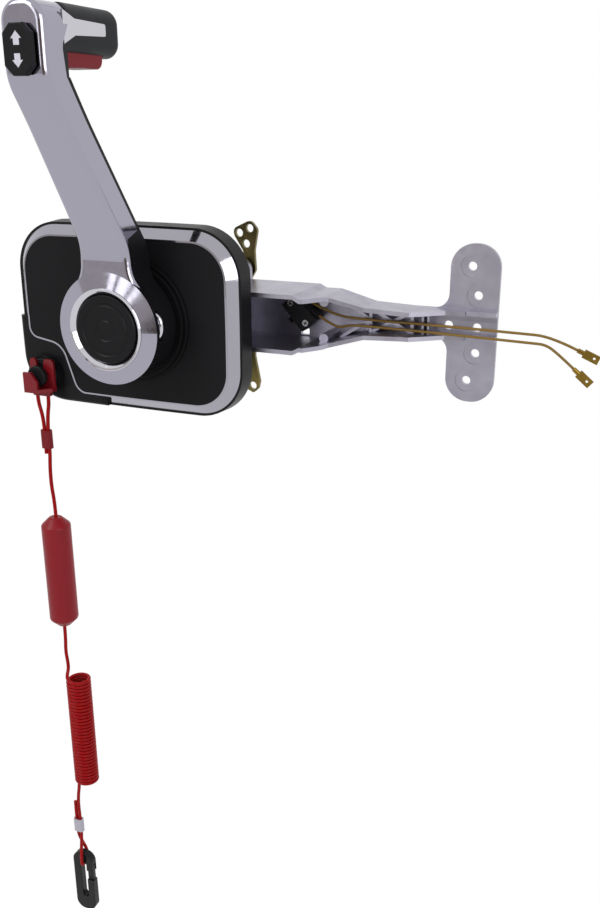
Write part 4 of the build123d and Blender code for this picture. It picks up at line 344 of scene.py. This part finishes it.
# %% [markdown]
# ## Dress the CAD nodes
# A CAD node whose shape is right keeps its mesh and only gets a finish in its material slots. One
# list for each finish is easier to check than one long table, and the loop stops at any node that
# no list names.

# %% Give every node its finish
dress = [
    (lever_chrome, ["lever_arm", "head_cover"]),
    (bezel_chrome, ["chrome_bezel"]),
    (bright_chrome, ["hub_ring", "throttle_button", "grip_inlays"]),
    (housing_black, [
        "panel_housing", "lever_back_cover", "hub_cap", "stop_switch", "stop_switch_nut",
        "stop_button", "trim_switch_housing", "trim_rocker",
    ]),
    (ring_black, ["pivot_escutcheon"]),
    (panel_black, ["face_panel"]),
    (grip_rubber, ["grip"]),
    (gasket_foam, ["panel_gasket"]),
    (switch_nylon, ["neutral_switch", "switch_plunger"]),
    (hook_acetal, ["snap_hook", "snap_gate"]),
    (trigger_red, ["trigger"]),
    (clip_red, ["stop_clip"]),
    (ferrule_white, ["lanyard_ferrule"]),
    (float_foam, ["lanyard_float"]),
    (lanyard_red, [
        "lanyard_cord_upper", "lanyard_tail", "lanyard_cord_lower", "lanyard_coil", "hook_cord",
    ]),
    (sleeve_red, ["lanyard_sleeve"]),
    (wire_gold, ["switch_lead_upper", "switch_lead_lower"]),
    (terminal_brass, ["lead_terminals"]),
    (gold_zinc, ["shift_arm", "throttle_arm"]),
    (sintered_bronze, ["shaft_bushings"]),
    (die_cast, ["arm_bracket", "mounting_plate", "mechanism_case", "handle_core"]),
    (zinc_steel, [
        "housing_screws", "case_screws", "bracket_screws", "switch_screws", "back_cover_screws",
        "hub_bolt", "main_shaft", "drive_pinion", "detent_wheel", "detent_roller", "detent_spring",
        "shift_sector", "shift_shaft", "throttle_sector", "throttle_shaft", "trigger_spring",
        "button_spring", "lock_rod",
    ]),
]
undressed = set(nodes)
for finish, names in dress:
    for name in names:
        slots = nodes[name].material_slots
        if not slots:
            nodes[name].data.materials.append(finish)
        for slot in slots:
            slot.material = finish
        undressed.discard(name)
assert not undressed, undressed
print("dressed", len(nodes), "nodes")

# %% [markdown]
# ## Cords
# A cord is one smooth line of a fixed length. A NURBS spline of order 3 bends evenly between its
# control points and never kinks, which is how a sheathed cord hangs. The points are those of the
# CAD routes, so each cord lies where its solid is. The order and the end flag are set after the
# points are added, because a spline with too few points falls back to straight runs.

# %% A cord along a smooth line
def cord_along(name, points, diameter, finish):
    """A round cord whose centreline is one NURBS spline with those control points."""
    line = bpy.data.curves.new(name, "CURVE")
    line.dimensions = "3D"
    spline = line.splines.new("NURBS")
    spline.points.add(len(points) - 1)
    for control, (x, y, z) in zip(spline.points, points):
        control.co = (x, y, z, 1.0)
    spline.order_u = 3
    spline.use_endpoint_u = True
    spline.resolution_u = 6
    line.bevel_depth = diameter / 2
    line.bevel_resolution = 4
    line.use_fill_caps = True
    line.materials.append(finish)
    return show(name, line)


lanyard_diameter = 0.003
lead_diameter = 0.002
print("cords are", lanyard_diameter, "and", lead_diameter, "m across")

# %% [markdown]
# ### The two cords at the fork
# The lanyard starts as a loop through the neck of the red fork. One side is the cord that goes on
# to the float, and the other is its tail, which ends in the sleeve that binds the loop.

# %% Cord to the float, and its tail
float_cord = cord_along("float_cord", [
    (-0.0772, -0.0310, -0.0640), (-0.0772, -0.0310, -0.0705), (-0.0792, -0.0310, -0.0795),
    (-0.0802, -0.0310, -0.0900), (-0.0804, -0.0310, -0.1020), (-0.0806, -0.0310, -0.1130),
    (-0.0819, -0.0310, -0.1260), (-0.0821, -0.0310, -0.1410), (-0.0805, -0.0310, -0.1550),
    (-0.0805, -0.0310, -0.1680),
], lanyard_diameter, lanyard_red)
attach(float_cord, "lanyard")
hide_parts("lanyard_cord_upper")

loop_tail = cord_along("loop_tail", [
    (-0.0872, -0.0310, -0.0640), (-0.0872, -0.0310, -0.0705), (-0.0847, -0.0310, -0.0795),
    (-0.0837, -0.0310, -0.0900), (-0.0838, -0.0310, -0.1020), (-0.0840, -0.0310, -0.1130),
], lanyard_diameter, lanyard_red)
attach(loop_tail, "lanyard")
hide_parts("lanyard_tail")
print("fork cords:", float_cord.name, loop_tail.name)

# %% [markdown]
# ### The coiled cord
# Below the float one cord does everything: it drops to the coil, winds down it, and goes on to the
# hook. A coil is a circle walked with a falling height, so its points come from a formula, twelve
# for each turn. A spline of order 3 passes inside its control points, by the factor below, so the
# circle is drawn that much larger. The first and last third of a turn are steeper, which leads the
# straight cord into the winding without a kink.

# %% Points of the coil
coil_centre = (-0.0725, -0.0310)
coil_top, coil_bottom = -0.3125, -0.4325
turns = 32
steps_per_turn, step_degrees = 12, 30
wire_circle = 0.0092
pulled_in = 0.75 + 0.25 * math.cos(math.radians(step_degrees))
control_circle = wire_circle / pulled_in
lead_in = [0.0042, 0.0018, 0.0009, 0.0005]
plain_steps = turns * steps_per_turn - 2 * len(lead_in)
plain_drop = (coil_top - coil_bottom - 2 * sum(lead_in)) / plain_steps
drops = lead_in + [plain_drop] * plain_steps + lead_in[::-1]
coil_points = []
height = coil_top
for step in range(turns * steps_per_turn + 1):
    angle = math.radians(180 + step_degrees * step)
    coil_points.append((
        coil_centre[0] + control_circle * math.cos(angle),
        coil_centre[1] + control_circle * math.sin(angle),
        height,
    ))
    height -= drops[min(step, len(drops) - 1)]
print("coil:", turns, "turns,", round(steps_per_turn * plain_drop / MM, 2), "mm apart")

# %% Float to coil to hook, as one cord
coiled_cord = cord_along("coiled_cord", [
    (-0.0820, -0.0310, -0.2680), (-0.0820, -0.0310, -0.2810), (-0.0833, -0.0310, -0.2950),
    (-0.0820, -0.0310, -0.3060),
] + coil_points + [
    (-0.0824, -0.0310, -0.4385), (-0.0838, -0.0310, -0.4450), (-0.0849, -0.0310, -0.4560),
    (-0.0846, -0.0310, -0.4680), (-0.0845, -0.0310, -0.4810), (-0.0842, -0.0314, -0.4920),
    (-0.0832, -0.0348, -0.5030), (-0.0826, -0.0370, -0.5135), (-0.0826, -0.0372, -0.5236),
    (-0.0840, -0.0248, -0.5236), (-0.0846, -0.0251, -0.5135), (-0.0870, -0.0278, -0.5030),
    (-0.0882, -0.0308, -0.4920), (-0.0881, -0.0310, -0.4800), (-0.0883, -0.0310, -0.4670),
    (-0.0881, -0.0310, -0.4550),
], lanyard_diameter, lanyard_red)
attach(coiled_cord, "lanyard")
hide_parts("lanyard_cord_lower", "lanyard_coil", "hook_cord")

# %% [markdown]
# ### The switch leads
# Two thin wires leave the neutral switch, drop into the channel of the cable arm, run along it and
# end in blade terminals.

# %% Leads of the neutral switch
upper_lead = cord_along("upper_lead", [
    (0.1132, 0.0445, 0.0114), (0.1310, 0.0445, 0.0034), (0.1470, 0.0445, 0.0004),
    (0.2160, 0.0445, 0.0003), (0.2734, 0.0445, -0.0007), (0.2940, 0.0445, -0.0011),
    (0.3130, 0.0445, -0.0092),
], lead_diameter, wire_gold)
lower_lead = cord_along("lower_lead", [
    (0.1220, 0.0445, 0.0002), (0.1310, 0.0445, -0.0047), (0.1388, 0.0445, -0.0072),
    (0.1460, 0.0445, -0.0049), (0.1550, 0.0445, -0.0044), (0.2080, 0.0445, -0.0052),
    (0.2817, 0.0445, -0.0069), (0.2910, 0.0445, -0.0072), (0.2990, 0.0445, -0.0120),
    (0.3115, 0.0445, -0.0225),
], lead_diameter, wire_gold)
for lead, node, start, long in (
    (upper_lead, "switch_lead_upper", (0.1132, 0.0445, 0.0114), 0.2031),
    (lower_lead, "switch_lead_lower", (0.122, 0.0445, 0.0002), 0.1962),
):
    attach(lead, "mount_base")
    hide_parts(node)
print("leads:", upper_lead.name, lower_lead.name)

# %% [markdown]
# ## Screw recesses
# The screws that hold the micro switch and the gear case have cross recesses. The same small cross
# sits on every head, which is work for Geometry Nodes: two bars make a cross, one copy goes on
# each point, and the copies become real mesh. The bars are thin and flat, half proud of the head,
# and their dark finish is painted shade, standing for the shade down in a real recess. The points
# are the middles of the screw heads, found as the separate islands of the CAD node's mesh, so no
# place is typed twice. They are sorted, because an island's corners come from a set, which has no
# order of its own.

# %% Find the screw heads
same_corner = 0.001 * MM
same_face = 0.1 * MM


def head_places(node, facing):
    """The middle of each screw head of a node, on its outer face. Facing is -1 or 1 along Y."""
    shape = bmesh.new()
    shape.from_mesh(nodes[node].data)
    bmesh.ops.remove_doubles(shape, verts=shape.verts, dist=same_corner)
    left, places = set(shape.verts), []
    while left:
        island, fresh = [], [left.pop()]
        while fresh:
            corner = fresh.pop()
            island.append(corner.co)
            for edge in corner.link_edges:
                other = edge.other_vert(corner)
                if other in left:
                    left.remove(other)
                    fresh.append(other)
        outer = max(facing * place.y for place in island) * facing
        head = [place for place in island if abs(place.y - outer) < same_face]
        places.append((
            (min(p.x for p in head) + max(p.x for p in head)) / 2, outer,
            (min(p.z for p in head) + max(p.z for p in head)) / 2,
        ))
    shape.free()
    return sorted(places)


switch_heads = head_places("switch_screws", -1)
case_heads = head_places("case_screws", 1)
print("screw heads:", len(switch_heads), "on the switch,", len(case_heads), "on the case")

# %% Build the tree that puts a cross on each point
def start_growth(name, *sizes):
    """A new Geometry Nodes tree from points and sizes to a mesh, and the sockets of its inputs."""
    tree = bpy.data.node_groups.new(name, "GeometryNodeTree")
    tree.interface.new_socket("Geometry", in_out="INPUT", socket_type="NodeSocketGeometry")
    for size in sizes:
        tree.interface.new_socket(size, in_out="INPUT", socket_type="NodeSocketFloat")
    tree.interface.new_socket("Geometry", in_out="OUTPUT", socket_type="NodeSocketGeometry")
    return tree, add_node(tree, "NodeGroupInput").outputs


def end_growth(tree, mesh, finish):
    """Makes every copy real, gives it its finish and leads it to the tree's output."""
    real = add_node(tree, "GeometryNodeRealizeInstances", links={"Geometry": mesh})
    painted = add_node(
        tree, "GeometryNodeSetMaterial", {"Material": finish}, {"Geometry": real.outputs[0]}
    )
    add_node(tree, "NodeGroupOutput", links={"Geometry": painted.outputs[0]})


cross_turn = math.radians(30)
recess_tree, given = start_growth("cross_recess", "Bar Length", "Bar Width", "Bar Depth")
bars = []
for across, along in (("Bar Length", "Bar Width"), ("Bar Width", "Bar Length")):
    size = add_node(
        recess_tree, "ShaderNodeCombineXYZ",
        links={"X": given[across], "Y": given["Bar Depth"], "Z": given[along]},
    )
    bar = add_node(recess_tree, "GeometryNodeMeshCube", links={"Size": size.outputs[0]})
    bars.append(bar.outputs["Mesh"])
cross = add_node(recess_tree, "GeometryNodeJoinGeometry", links={"Geometry": bars[0]})
recess_tree.links.new(bars[1], cross.inputs["Geometry"])
copies = add_node(
    recess_tree, "GeometryNodeInstanceOnPoints", {"Rotation": (0.0, cross_turn, 0.0)},
    {"Points": given["Geometry"], "Instance": cross.outputs[0]},
)
# The crosses get the dark finish that is painted shade of a recess.
end_growth(recess_tree, copies.outputs[0], recess_painted_shade)
print("recess tree has", len(recess_tree.nodes), "nodes")

# %% Turn a tree's result into a plain mesh
def grow(name, tree, points, sizes):
    """A plain mesh object made by a Geometry Nodes tree from points, with its named inputs set."""
    start = bpy.data.meshes.new(name)
    start.from_pydata(points, [], [])
    holder = show("points", start)
    modifier = holder.modifiers.new("grow", "NODES")
    modifier.node_group = tree
    for socket in tree.interface.items_tree:
        if socket.name in sizes:
            modifier[socket.identifier] = sizes[socket.name]
    grown = holder.evaluated_get(bpy.context.evaluated_depsgraph_get())
    finished = bpy.data.meshes.new_from_object(grown)
    bpy.data.objects.remove(holder)
    print(name, len(finished.polygons), "faces")
    return show(name, finished)


# %% Put the crosses on the switch screws and on the gear case screws
recess_length_share, recess_width_share, recess_depth = 1.3, 0.3, 0.12 * MM
for piece_name, heads, head_radius in (
    ("switch_screw_recesses", switch_heads, 0.0024),
    ("case_screw_recesses", case_heads, 0.0045),
):
    recesses = grow(piece_name, recess_tree, heads, {
        "Bar Length": recess_length_share * head_radius,
        "Bar Width": recess_width_share * head_radius,
        "Bar Depth": recess_depth,
    })
    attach(recesses, "mount_base")

# %% [markdown]
# ## The trigger's spring
# The red trigger is pushed down by a wire spring that stands in a hole in it, and lifting the
# trigger shortens the spring. The CAD solid is only the tube that the spring fills. A spring is a
# round wire along a spiral, which is one curve primitive in Geometry Nodes, so its tree takes the
# spring's own sizes.

# %% Build the tree that winds a spring
spring_tree, given = start_growth("wire_spring", "Coil Radius", "Free Height", "Turns", "Wire Radius")
spring_tree.interface.new_socket("Foot", in_out="INPUT", socket_type="NodeSocketVector")
spiral = add_node(
    spring_tree, "GeometryNodeCurveSpiral", {"Resolution": 24},
    {"Rotations": given["Turns"], "Start Radius": given["Coil Radius"],
     "End Radius": given["Coil Radius"], "Height": given["Free Height"]},
)
section = add_node(
    spring_tree, "GeometryNodeCurvePrimitiveCircle", {"Resolution": 8},
    {"Radius": given["Wire Radius"]},
)
wire = add_node(
    spring_tree, "GeometryNodeCurveToMesh", {"Fill Caps": True},
    {"Curve": spiral.outputs[0], "Profile Curve": section.outputs[0]},
)
placed = add_node(
    spring_tree, "GeometryNodeTransform",
    links={"Geometry": wire.outputs[0], "Translation": given["Foot"]},
)
end_growth(spring_tree, placed.outputs[0], zinc_steel)
print("spring tree has", len(spring_tree.nodes), "nodes")

# %% Wind the trigger's spring
spring_low, spring_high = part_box("trigger_spring")
spring_middle = [(spring_low[axis] + spring_high[axis]) / 2 for axis in (0, 1)]
wire_radius, trigger_lift = 0.0005, 0.006
spring_height = spring_high[2] - spring_low[2]
spring = grow("trigger_wire_spring", spring_tree, [(0, 0, 0)], {
    "Coil Radius": (spring_high[0] - spring_low[0]) / 2 - wire_radius,
    "Free Height": spring_height - 2 * wire_radius, "Turns": 6.0, "Wire Radius": wire_radius,
    "Foot": (*spring_middle, spring_low[2] + wire_radius),
})
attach(spring, "control_lever")
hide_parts("trigger_spring")
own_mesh(spring)
print("spring is", round(spring_height / MM, 1), "mm tall")

# %% [markdown]
# ## The throttle only button
# A button on the side of the hub frees the throttle from the gears while the engine warms up. It is
# a chromed bulge that the thumb finds without looking. A ball pushed out towards a box, by raising
# each coordinate to a power below one, gives that full, soft shape. Its inner half is cut off flat.

# %% Throttle button
def finished_mesh(name, shape, finish):
    """Writes a working mesh out as a plain one with that finish, and shows it."""
    mesh = bpy.data.meshes.new(name)
    shape.to_mesh(mesh)
    shape.free()
    mesh.materials.append(finish)
    print(name, len(mesh.polygons), "faces")
    return show(name, mesh)


fullness = 0.8
button_low, button_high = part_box("throttle_button")
button_long, button_wide, button_tall = [b - a for a, b in zip(button_low, button_high)]
shape = bmesh.new()
bmesh.ops.create_uvsphere(shape, u_segments=48, v_segments=32, radius=1.0)
for corner in shape.verts:
    corner.co = Vector([math.copysign(abs(value) ** fullness, value) for value in corner.co])
bmesh.ops.bisect_plane(
    shape, geom=shape.verts[:] + shape.edges[:] + shape.faces[:],
    plane_co=(0, 0, 0), plane_no=(1, 0, 0), clear_inner=True,
)
bmesh.ops.holes_fill(shape, edges=[edge for edge in shape.edges if edge.is_boundary])
for corner in shape.verts:
    corner.co = Vector((
        button_low[0] + button_long * corner.co.x,
        (button_low[1] + button_high[1]) / 2 + button_wide / 2 * corner.co.y,
        (button_low[2] + button_high[2]) / 2 + button_tall / 2 * corner.co.z,
    ))
bmesh.ops.recalc_face_normals(shape, faces=shape.faces)
for face in shape.faces:
    face.smooth = len(face.verts) <= 4
bulge = finished_mesh("throttle_button_bulge", shape, bright_chrome)
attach(bulge, "warm_up_button")
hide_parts("throttle_button")

# %% [markdown]
# ## Arrows on the trim rocker
# The rocker that tilts the engine up and down carries two plain arrows, pad printed. The ink stands
# a few hundredths of a millimetre proud of the surface, so each arrow is an outline of seven
# corners, filled, and drawn back into the rocker so that it has no gap behind it.

# %% Print the two arrows
rocker_low, rocker_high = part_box("trim_rocker")
ink_proud, ink_root = 0.00003, 0.0003
print_front = rocker_low[1] - ink_proud
print_back = rocker_low[1] + ink_root
rocker_middle = (rocker_low[2] + rocker_high[2]) / 2
tip_from_middle = 0.0100


def arrow_outline(tip, away):
    """The seven corners of an arrow with its tip at that height, and its tail below or above it."""
    head, tail, wide, stem = 0.0041, 0.0077, 0.0038, 0.0021
    return [
        (0, tip), (wide, tip - away * head), (stem, tip - away * head), (stem, tip - away * tail),
        (-stem, tip - away * tail), (-stem, tip - away * head), (-wide, tip - away * head),
    ]


shape = bmesh.new()
for tip, away in ((rocker_middle + tip_from_middle, 1), (rocker_middle - tip_from_middle, -1)):
    corners = [shape.verts.new((x, print_front, z)) for x, z in arrow_outline(tip, away)]
    face = shape.faces.new(corners)
    solid = bmesh.ops.extrude_face_region(shape, geom=[face])
    for part in solid["geom"]:
        if isinstance(part, bmesh.types.BMVert):
            part.co.y = print_back
bmesh.ops.recalc_face_normals(shape, faces=shape.faces)
rocker_arrows = finished_mesh("rocker_arrows", shape, arrow_grey)
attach(rocker_arrows, "trim_button")

# %% [markdown]
# ## Studio
# A pale floor and a white background show the object as a catalogue would. Their white is set for
# rays that come from the camera, a mirror or a glass, and never by putting more light on the
# object.

# %% Floor
def seen_directly(tree):
    """1 for rays from the camera, a mirror or a glass, and 0 for the rays that carry light."""
    ray = add_node(tree, "ShaderNodeLightPath").outputs
    seen = ray["Is Camera Ray"]
    for kind in ("Is Glossy Ray", "Is Transmission Ray"):
        either = add_node(
            tree, "ShaderNodeMath", links={0: seen, 1: ray[kind]}, operation="MAXIMUM"
        )
        seen = either.outputs[0]
    return seen


floor_reach, floor_drop = 6, 0.09
floor_height = cad_low[2] - floor_drop
floor_mesh = bpy.data.meshes.new("floor")
floor_mesh.from_pydata([
    (-floor_reach, -floor_reach, floor_height), (floor_reach, -floor_reach, floor_height),
    (floor_reach, floor_reach, floor_height), (-floor_reach, floor_reach, floor_height),
], [], [(0, 1, 2, 3)])
floor = show("floor", floor_mesh)
floor_paint, tree = start_material("studio_floor")
share = add_node(
    tree, "ShaderNodeMath", {1: 0.97}, {0: seen_directly(tree)}, operation="MULTIPLY"
)
matte = add_node(tree, "ShaderNodeBsdfDiffuse", {"Color": linear("#e9e9ea")})
white = add_node(tree, "ShaderNodeEmission", {"Color": (1, 1, 1, 1), "Strength": 1.02})
floor_mix = add_node(
    tree, "ShaderNodeMixShader",
    links={0: share.outputs[0], 1: matte.outputs[0], 2: white.outputs[0]},
)
add_node(tree, "ShaderNodeOutputMaterial", links={"Surface": floor_mix.outputs[0]})
floor_mesh.materials.append(floor_paint)
print("floor at", round(floor_height, 3))

# %% World
world = bpy.data.worlds.new("studio")
bpy.context.scene.world = world
world.use_nodes = True
tree = world.node_tree
tree.nodes.clear()
dim = add_node(tree, "ShaderNodeBackground", {"Color": linear("#eef0f4"), "Strength": 0.45})
full = add_node(tree, "ShaderNodeBackground", {"Color": (1, 1, 1, 1), "Strength": 1.0})
sky = add_node(
    tree, "ShaderNodeMixShader",
    links={0: seen_directly(tree), 1: dim.outputs[0], 2: full.outputs[0]},
)
add_node(tree, "ShaderNodeOutputWorld", links={"Surface": sky.outputs[0]})
print("world:", world.name)

# %% [markdown]
# ### Cards for the chrome
# Chrome has no look of its own: it shows the room. A photographer sets up cards around it, dark
# ones for contrast and bright ones for streaks. These stand still in front of the object, on the
# camera's side, and only reflections see them, so they neither shade it nor show in a picture.

# %% Reflection cards
def card(name, low, high, depth, colour, strength=1.0):
    """An upright card at y = depth, from its low corner (x, z) to its high one."""
    sheet = bpy.data.meshes.new(name)
    sheet.from_pydata([
        (low[0], depth, low[1]), (high[0], depth, low[1]),
        (high[0], depth, high[1]), (low[0], depth, high[1]),
    ], [], [(0, 3, 2, 1)])
    board = show(name, sheet)
    board.visible_camera = False
    board.visible_diffuse = False
    board.visible_shadow = False
    board.visible_transmission = False
    paint, tree = start_material(name)
    glow = add_node(tree, "ShaderNodeEmission", {"Color": linear(colour), "Strength": strength})
    add_node(tree, "ShaderNodeOutputMaterial", links={"Surface": glow.outputs[0]})
    sheet.materials.append(paint)


card_depth, window_depth, strip_depth = -2.0, -1.96, -1.95
skirting, card_top = -0.36, 1.6
window_foot, window_top, window_glow = 0.15, 1.3, 3.0
strip_width = 0.035
card("grey_card", (-2.6, skirting), (0.0, card_top), card_depth, "#d2cdca")
card("brown_card", (0.0, -0.42), (1.7, 0.55), card_depth, "#85776b")
card("grey_side_card", (0.0, 0.55), (1.7, card_top), card_depth, "#c4c0be")
for place, width in ((-1.15, 0.22), (-0.82, 0.30), (-0.42, 0.12), (1.25, 0.10)):
    card("window_card", (place, window_foot), (place + width, window_top), window_depth,
         "#ffffff", window_glow)
for place in (-0.88, -0.49, 0.0, 0.62):
    card("dark_strip", (place, skirting), (place + strip_width, window_top), strip_depth, "#1c1a1a")

# %% [markdown]
# ### Lamps
# Two large soft boxes in front, at the left and the right, light black plastic without hard
# shadows. A smaller one from behind lifts the upper edges off the background. It isn't seen in
# reflections, because its square would show as a white patch on the cable arm.

# %% Lamps
def soft_lamp(name, place, aim, size, power):
    """A square soft box at that place, turned towards a point of the object."""
    lamp_data = bpy.data.lights.new(name, "AREA")
    lamp_data.shape = "SQUARE"
    lamp_data.size = size
    lamp_data.energy = power
    lamp = show(name, lamp_data)
    lamp.location = place
    lamp.rotation_euler = (Vector(aim) - Vector(place)).to_track_quat("-Z", "Y").to_euler()
    return lamp


soft_lamp("key_lamp", (-0.9, -1.3, 1.3), (0, 0, 0), 1.0, 22)
soft_lamp("fill_lamp", (1.5, -1.1, 0.5), (0, 0, -0.1), 1.2, 14)
soft_lamp("back_lamp", (0.3, 1.4, 1.2), (0.1, 0, 0), 0.8, 12).visible_glossy = False
bpy.context.scene.view_settings.view_transform = "Standard"
print("lamps:", [lamp.name for lamp in bpy.data.lights])
